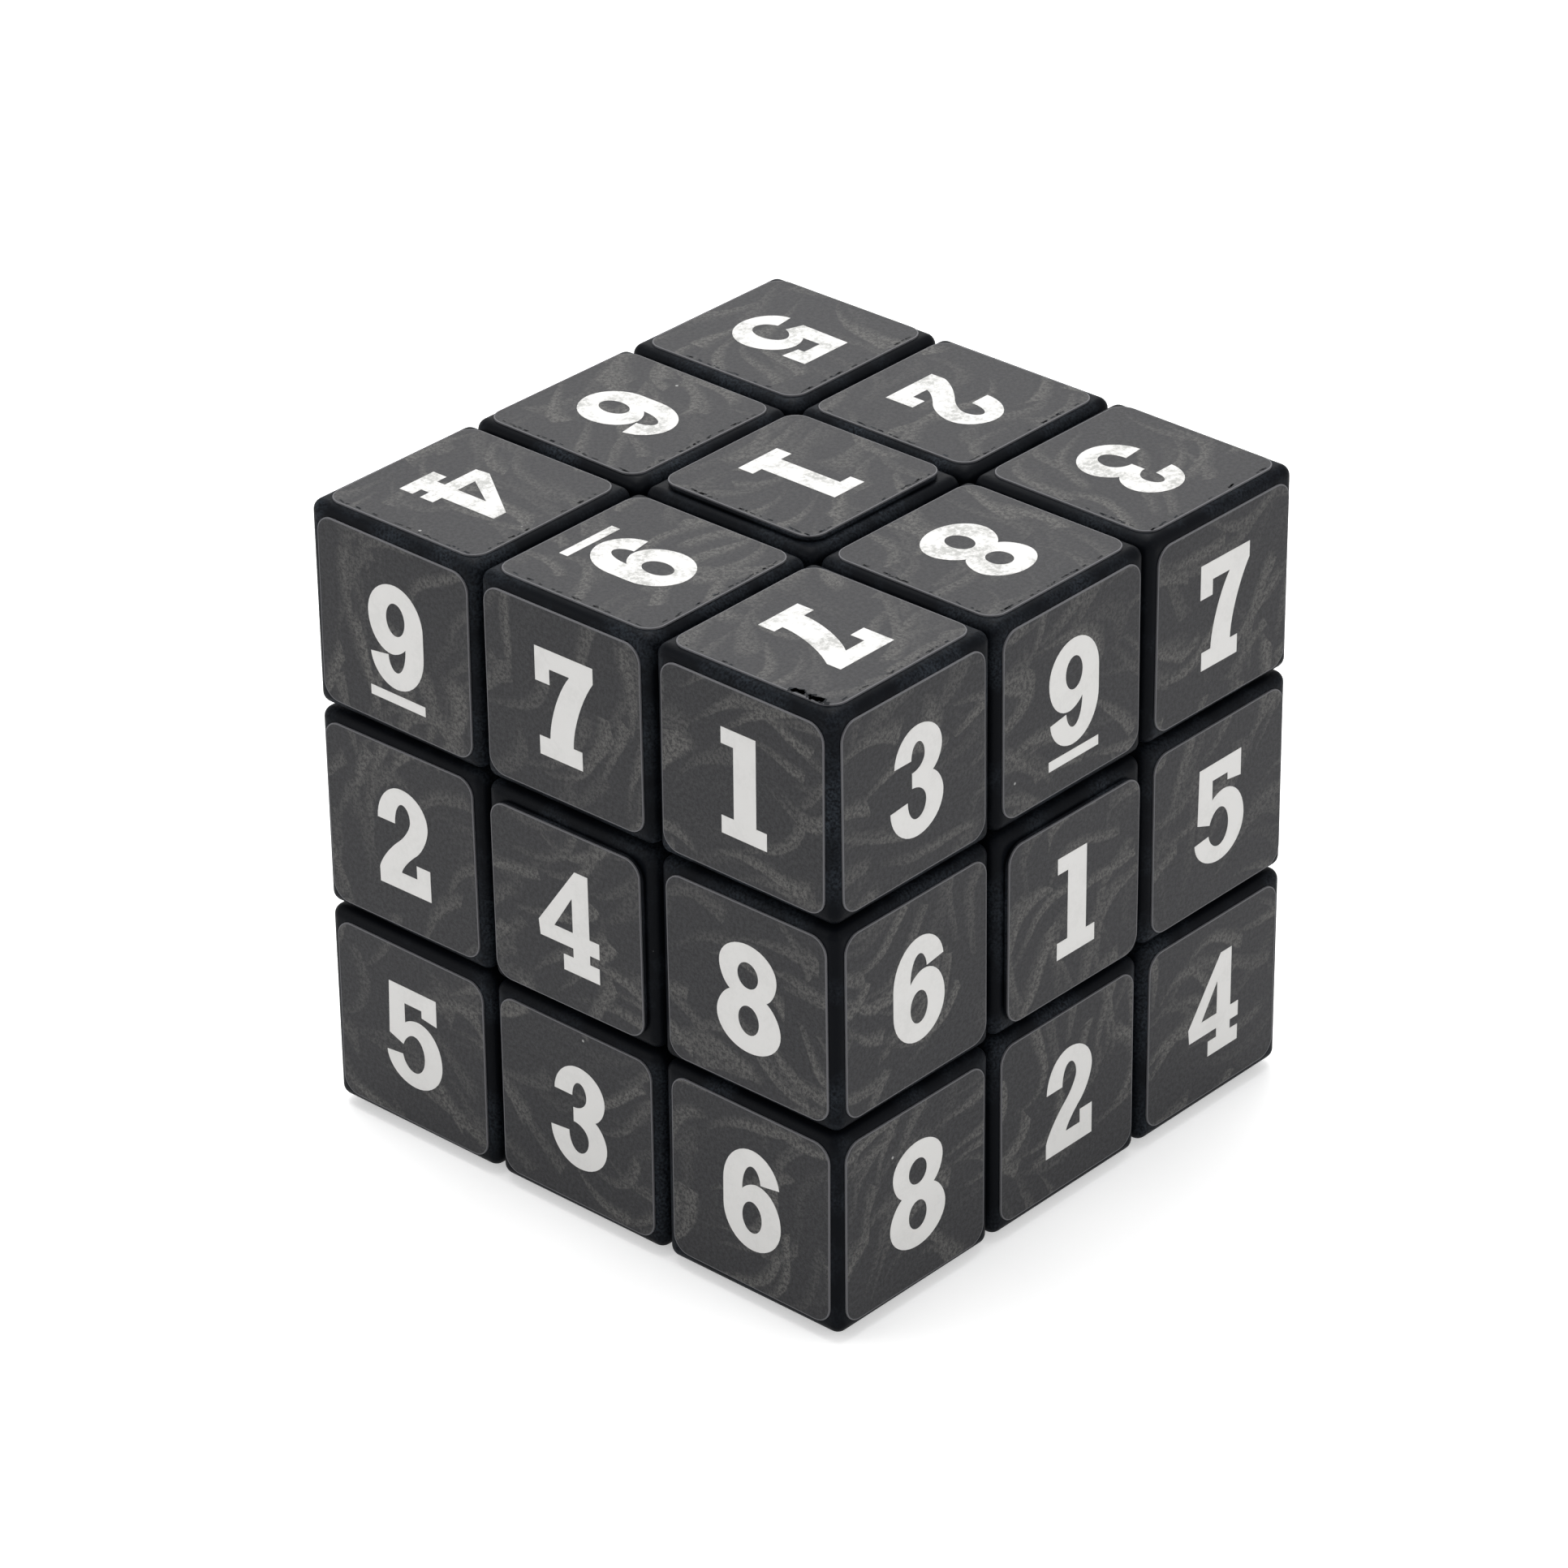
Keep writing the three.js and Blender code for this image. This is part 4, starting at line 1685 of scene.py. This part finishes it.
    def mark(self, mesh: bpy.types.Mesh, place: Points, values: dict[FilmMark, Points]) -> None:
        """Gives a film its map and what else its materials read.

        Args:
            mesh: the film's mesh.
            place: place of each point on the printed sheet, in millimetres.
            values: a number for each point.
        """
        corners = np.empty(len(mesh.loops), np.int32)
        mesh.loops.foreach_get("vertex_index", corners)
        layer = mesh.uv_layers.new(name=FilmMark.SHEET.value)
        layer.data.foreach_set("uv", place[corners].astype(np.float32).ravel())
        for mark, numbers in values.items():
            held = mesh.attributes.new(mark.value, "FLOAT", "POINT")
            held.data.foreach_set("value", numbers.astype(np.float32))


def seen(tree: Tree) -> Socket:
    """Tells what the camera sees, also in a reflection or through glass, from other light.

    Args:
        tree: the material's or world's nodes.

    Returns:
        1 for what is seen and 0 for other light.
    """
    path = add_node(tree, "LightPath")
    ray = path["Is Camera Ray"]
    for other in ("Is Glossy Ray", "Is Transmission Ray"):
        ray = add_node(tree, "Math", {"operation": "MAXIMUM"}, {0: ray, 1: path[other]})[0]
    return ray


@dataclass(frozen=True)
class Softbox:
    """A square soft lamp.

    Attributes:
        name: its name.
        place: its place, in metres.
        size: its side, in metres.
        watts: its power.
    """

    name: str
    place: Corner
    size: float
    watts: float


SOFTBOXES = (
    Softbox("overhead_softbox", (-0.15, 0.1, 0.75), 0.6, 4.6),
    Softbox("left_softbox", (-0.55, -0.6, 0.35), 0.45, 1.2),
    Softbox("right_softbox", (0.75, 0.1, 0.35), 0.45, 1.2),
    Softbox("rear_softbox", (-0.47, 0.52, 0.42), 0.4, 1.05),
)


@dataclass
class Studio:
    """White table, soft lamps and the camera at the photograph's angle.

    Attributes:
        middle: height of the cube's middle over the table.
        azimuth: camera's turn to the right of the front, in degrees.
        elevation: its height, in degrees.
        roll: its tilt, in degrees.
        distance: from the middle of the cube.
        focal: focal length in pixels of the photograph.
        picture: width of the photograph in pixels.
        aim: where the picture's middle lies, right and up of the cube's.
        ambient: level of the light from all round.
        table_glow: what whitens the table for the camera, past its shadow.
        table_reach: half the table's side.
        table_drop: how far the table lies under the cube.
    """

    middle: float
    azimuth: float = 42.2
    elevation: float = 29.4
    roll: float = -0.75
    distance: float = 540.0
    focal: float = 7950.0
    picture: float = 1932.0
    aim: Range = (-1.87, 0.12)
    ambient: float = 0.6
    table_glow: float = 0.40
    table_reach: float = 3000.0
    table_drop: float = 0.05

    def table(self) -> None:
        """Lays a pale matt table, a hair under the cube, that keeps its shadow."""
        reach, level = self.table_reach, -self.table_drop
        corners = np.array([
            (-reach, -reach, level), (reach, -reach, level), (reach, reach, level), (-reach, reach, level)
        ])
        mesh = blender_mesh("table", Shape(corners * METRES, [[0, 1, 2, 3]]))
        # Uncoated white paper: even and without gloss, so that it holds a soft shadow
        paper = bpy.data.materials.new("white_paper_table")
        paper.use_nodes = True
        tree = paper.node_tree
        shader = tree.nodes["Principled BSDF"].inputs
        shader["Base Color"].default_value = linear("#ededed")
        shader["Roughness"].default_value = 0.9
        shader["Specular IOR Level"].default_value = 0.1
        shader["Emission Color"].default_value = linear("#ffffff")
        glow = add_node(tree, "MapRange", {TO: (0.0, self.table_glow)}, {0: seen(tree)})[0]
        tree.links.new(glow, shader["Emission Strength"])
        mesh.materials.append(paper)
        new_object("table", mesh)

    def lamp(self, box: Softbox) -> None:
        """Hangs a lamp that looks at the cube.

        Args:
            box: the lamp.
        """
        light = bpy.data.lights.new(box.name, "AREA")
        light.energy = box.watts
        light.size = box.size
        lamp = new_object(box.name, light)
        lamp.location = box.place
        aim = Vector((0, 0, self.middle * METRES)) - Vector(box.place)
        lamp.rotation_euler = aim.to_track_quat("-Z", "Y").to_euler()

    def surround(self) -> None:
        """Adds even light from all round, which the camera and reflections see as white."""
        world = bpy.data.worlds.new("white_room")
        world.use_nodes = True
        tree = world.node_tree
        strength = add_node(tree, "MapRange", {TO: (self.ambient, 1.0)}, {0: seen(tree)})[0]
        ground = tree.nodes["Background"].inputs
        ground["Color"].default_value = linear("#ffffff")
        tree.links.new(strength, ground["Strength"])
        bpy.context.scene.world = world

    def camera(self) -> None:
        """Sets up a camera whose picture fits the photograph's outline of the cube."""
        turn, rise, tilt = (math.radians(angle) for angle in (self.azimuth, self.elevation, self.roll))
        back = np.array([math.sin(turn) * math.cos(rise), -math.cos(turn) * math.cos(rise), math.sin(rise)])
        level = np.array([math.cos(turn), math.sin(turn), 0.0])
        upright = np.cross(back, level)
        right = level * math.cos(tilt) + upright * math.sin(tilt)
        up = upright * math.cos(tilt) - level * math.sin(tilt)
        place = back * self.distance + right * self.aim[0] + up * self.aim[1] + (0, 0, self.middle)
        data = bpy.data.cameras.new("camera")
        data.sensor_width = 36.0
        data.lens = self.focal / self.picture * data.sensor_width
        data.clip_start = 0.01
        data.clip_end = 20.0
        camera = new_object("camera", data)
        pose = np.eye(4)
        pose[:3, :3] = np.array([right, up, back]).T
        pose[:3, 3] = place * METRES
        camera.matrix_world = Matrix(pose.tolist())
        bpy.context.scene.camera = camera

    def build(self) -> None:
        """Sets up the table, the light and the camera."""
        self.table()
        self.surround()
        for box in SOFTBOXES:
            self.lamp(box)
        self.camera()
        bpy.context.scene.view_settings.view_transform = "Standard"


def main() -> None:
    """Builds the cube and its studio."""
    logging.basicConfig(level=logging.INFO, format="%(name)s: %(message)s")
    sizes = CubeSizes()
    for group in (Mouldings(sizes), Lids(sizes), Works(sizes), Films(sizes)):
        group.build()
        LOG.info("%s: %d pieces", type(group).__name__, len(group.made))
    Studio(sizes.half + sizes.cap_proud).build()


if __name__ == "__main__":
    main()
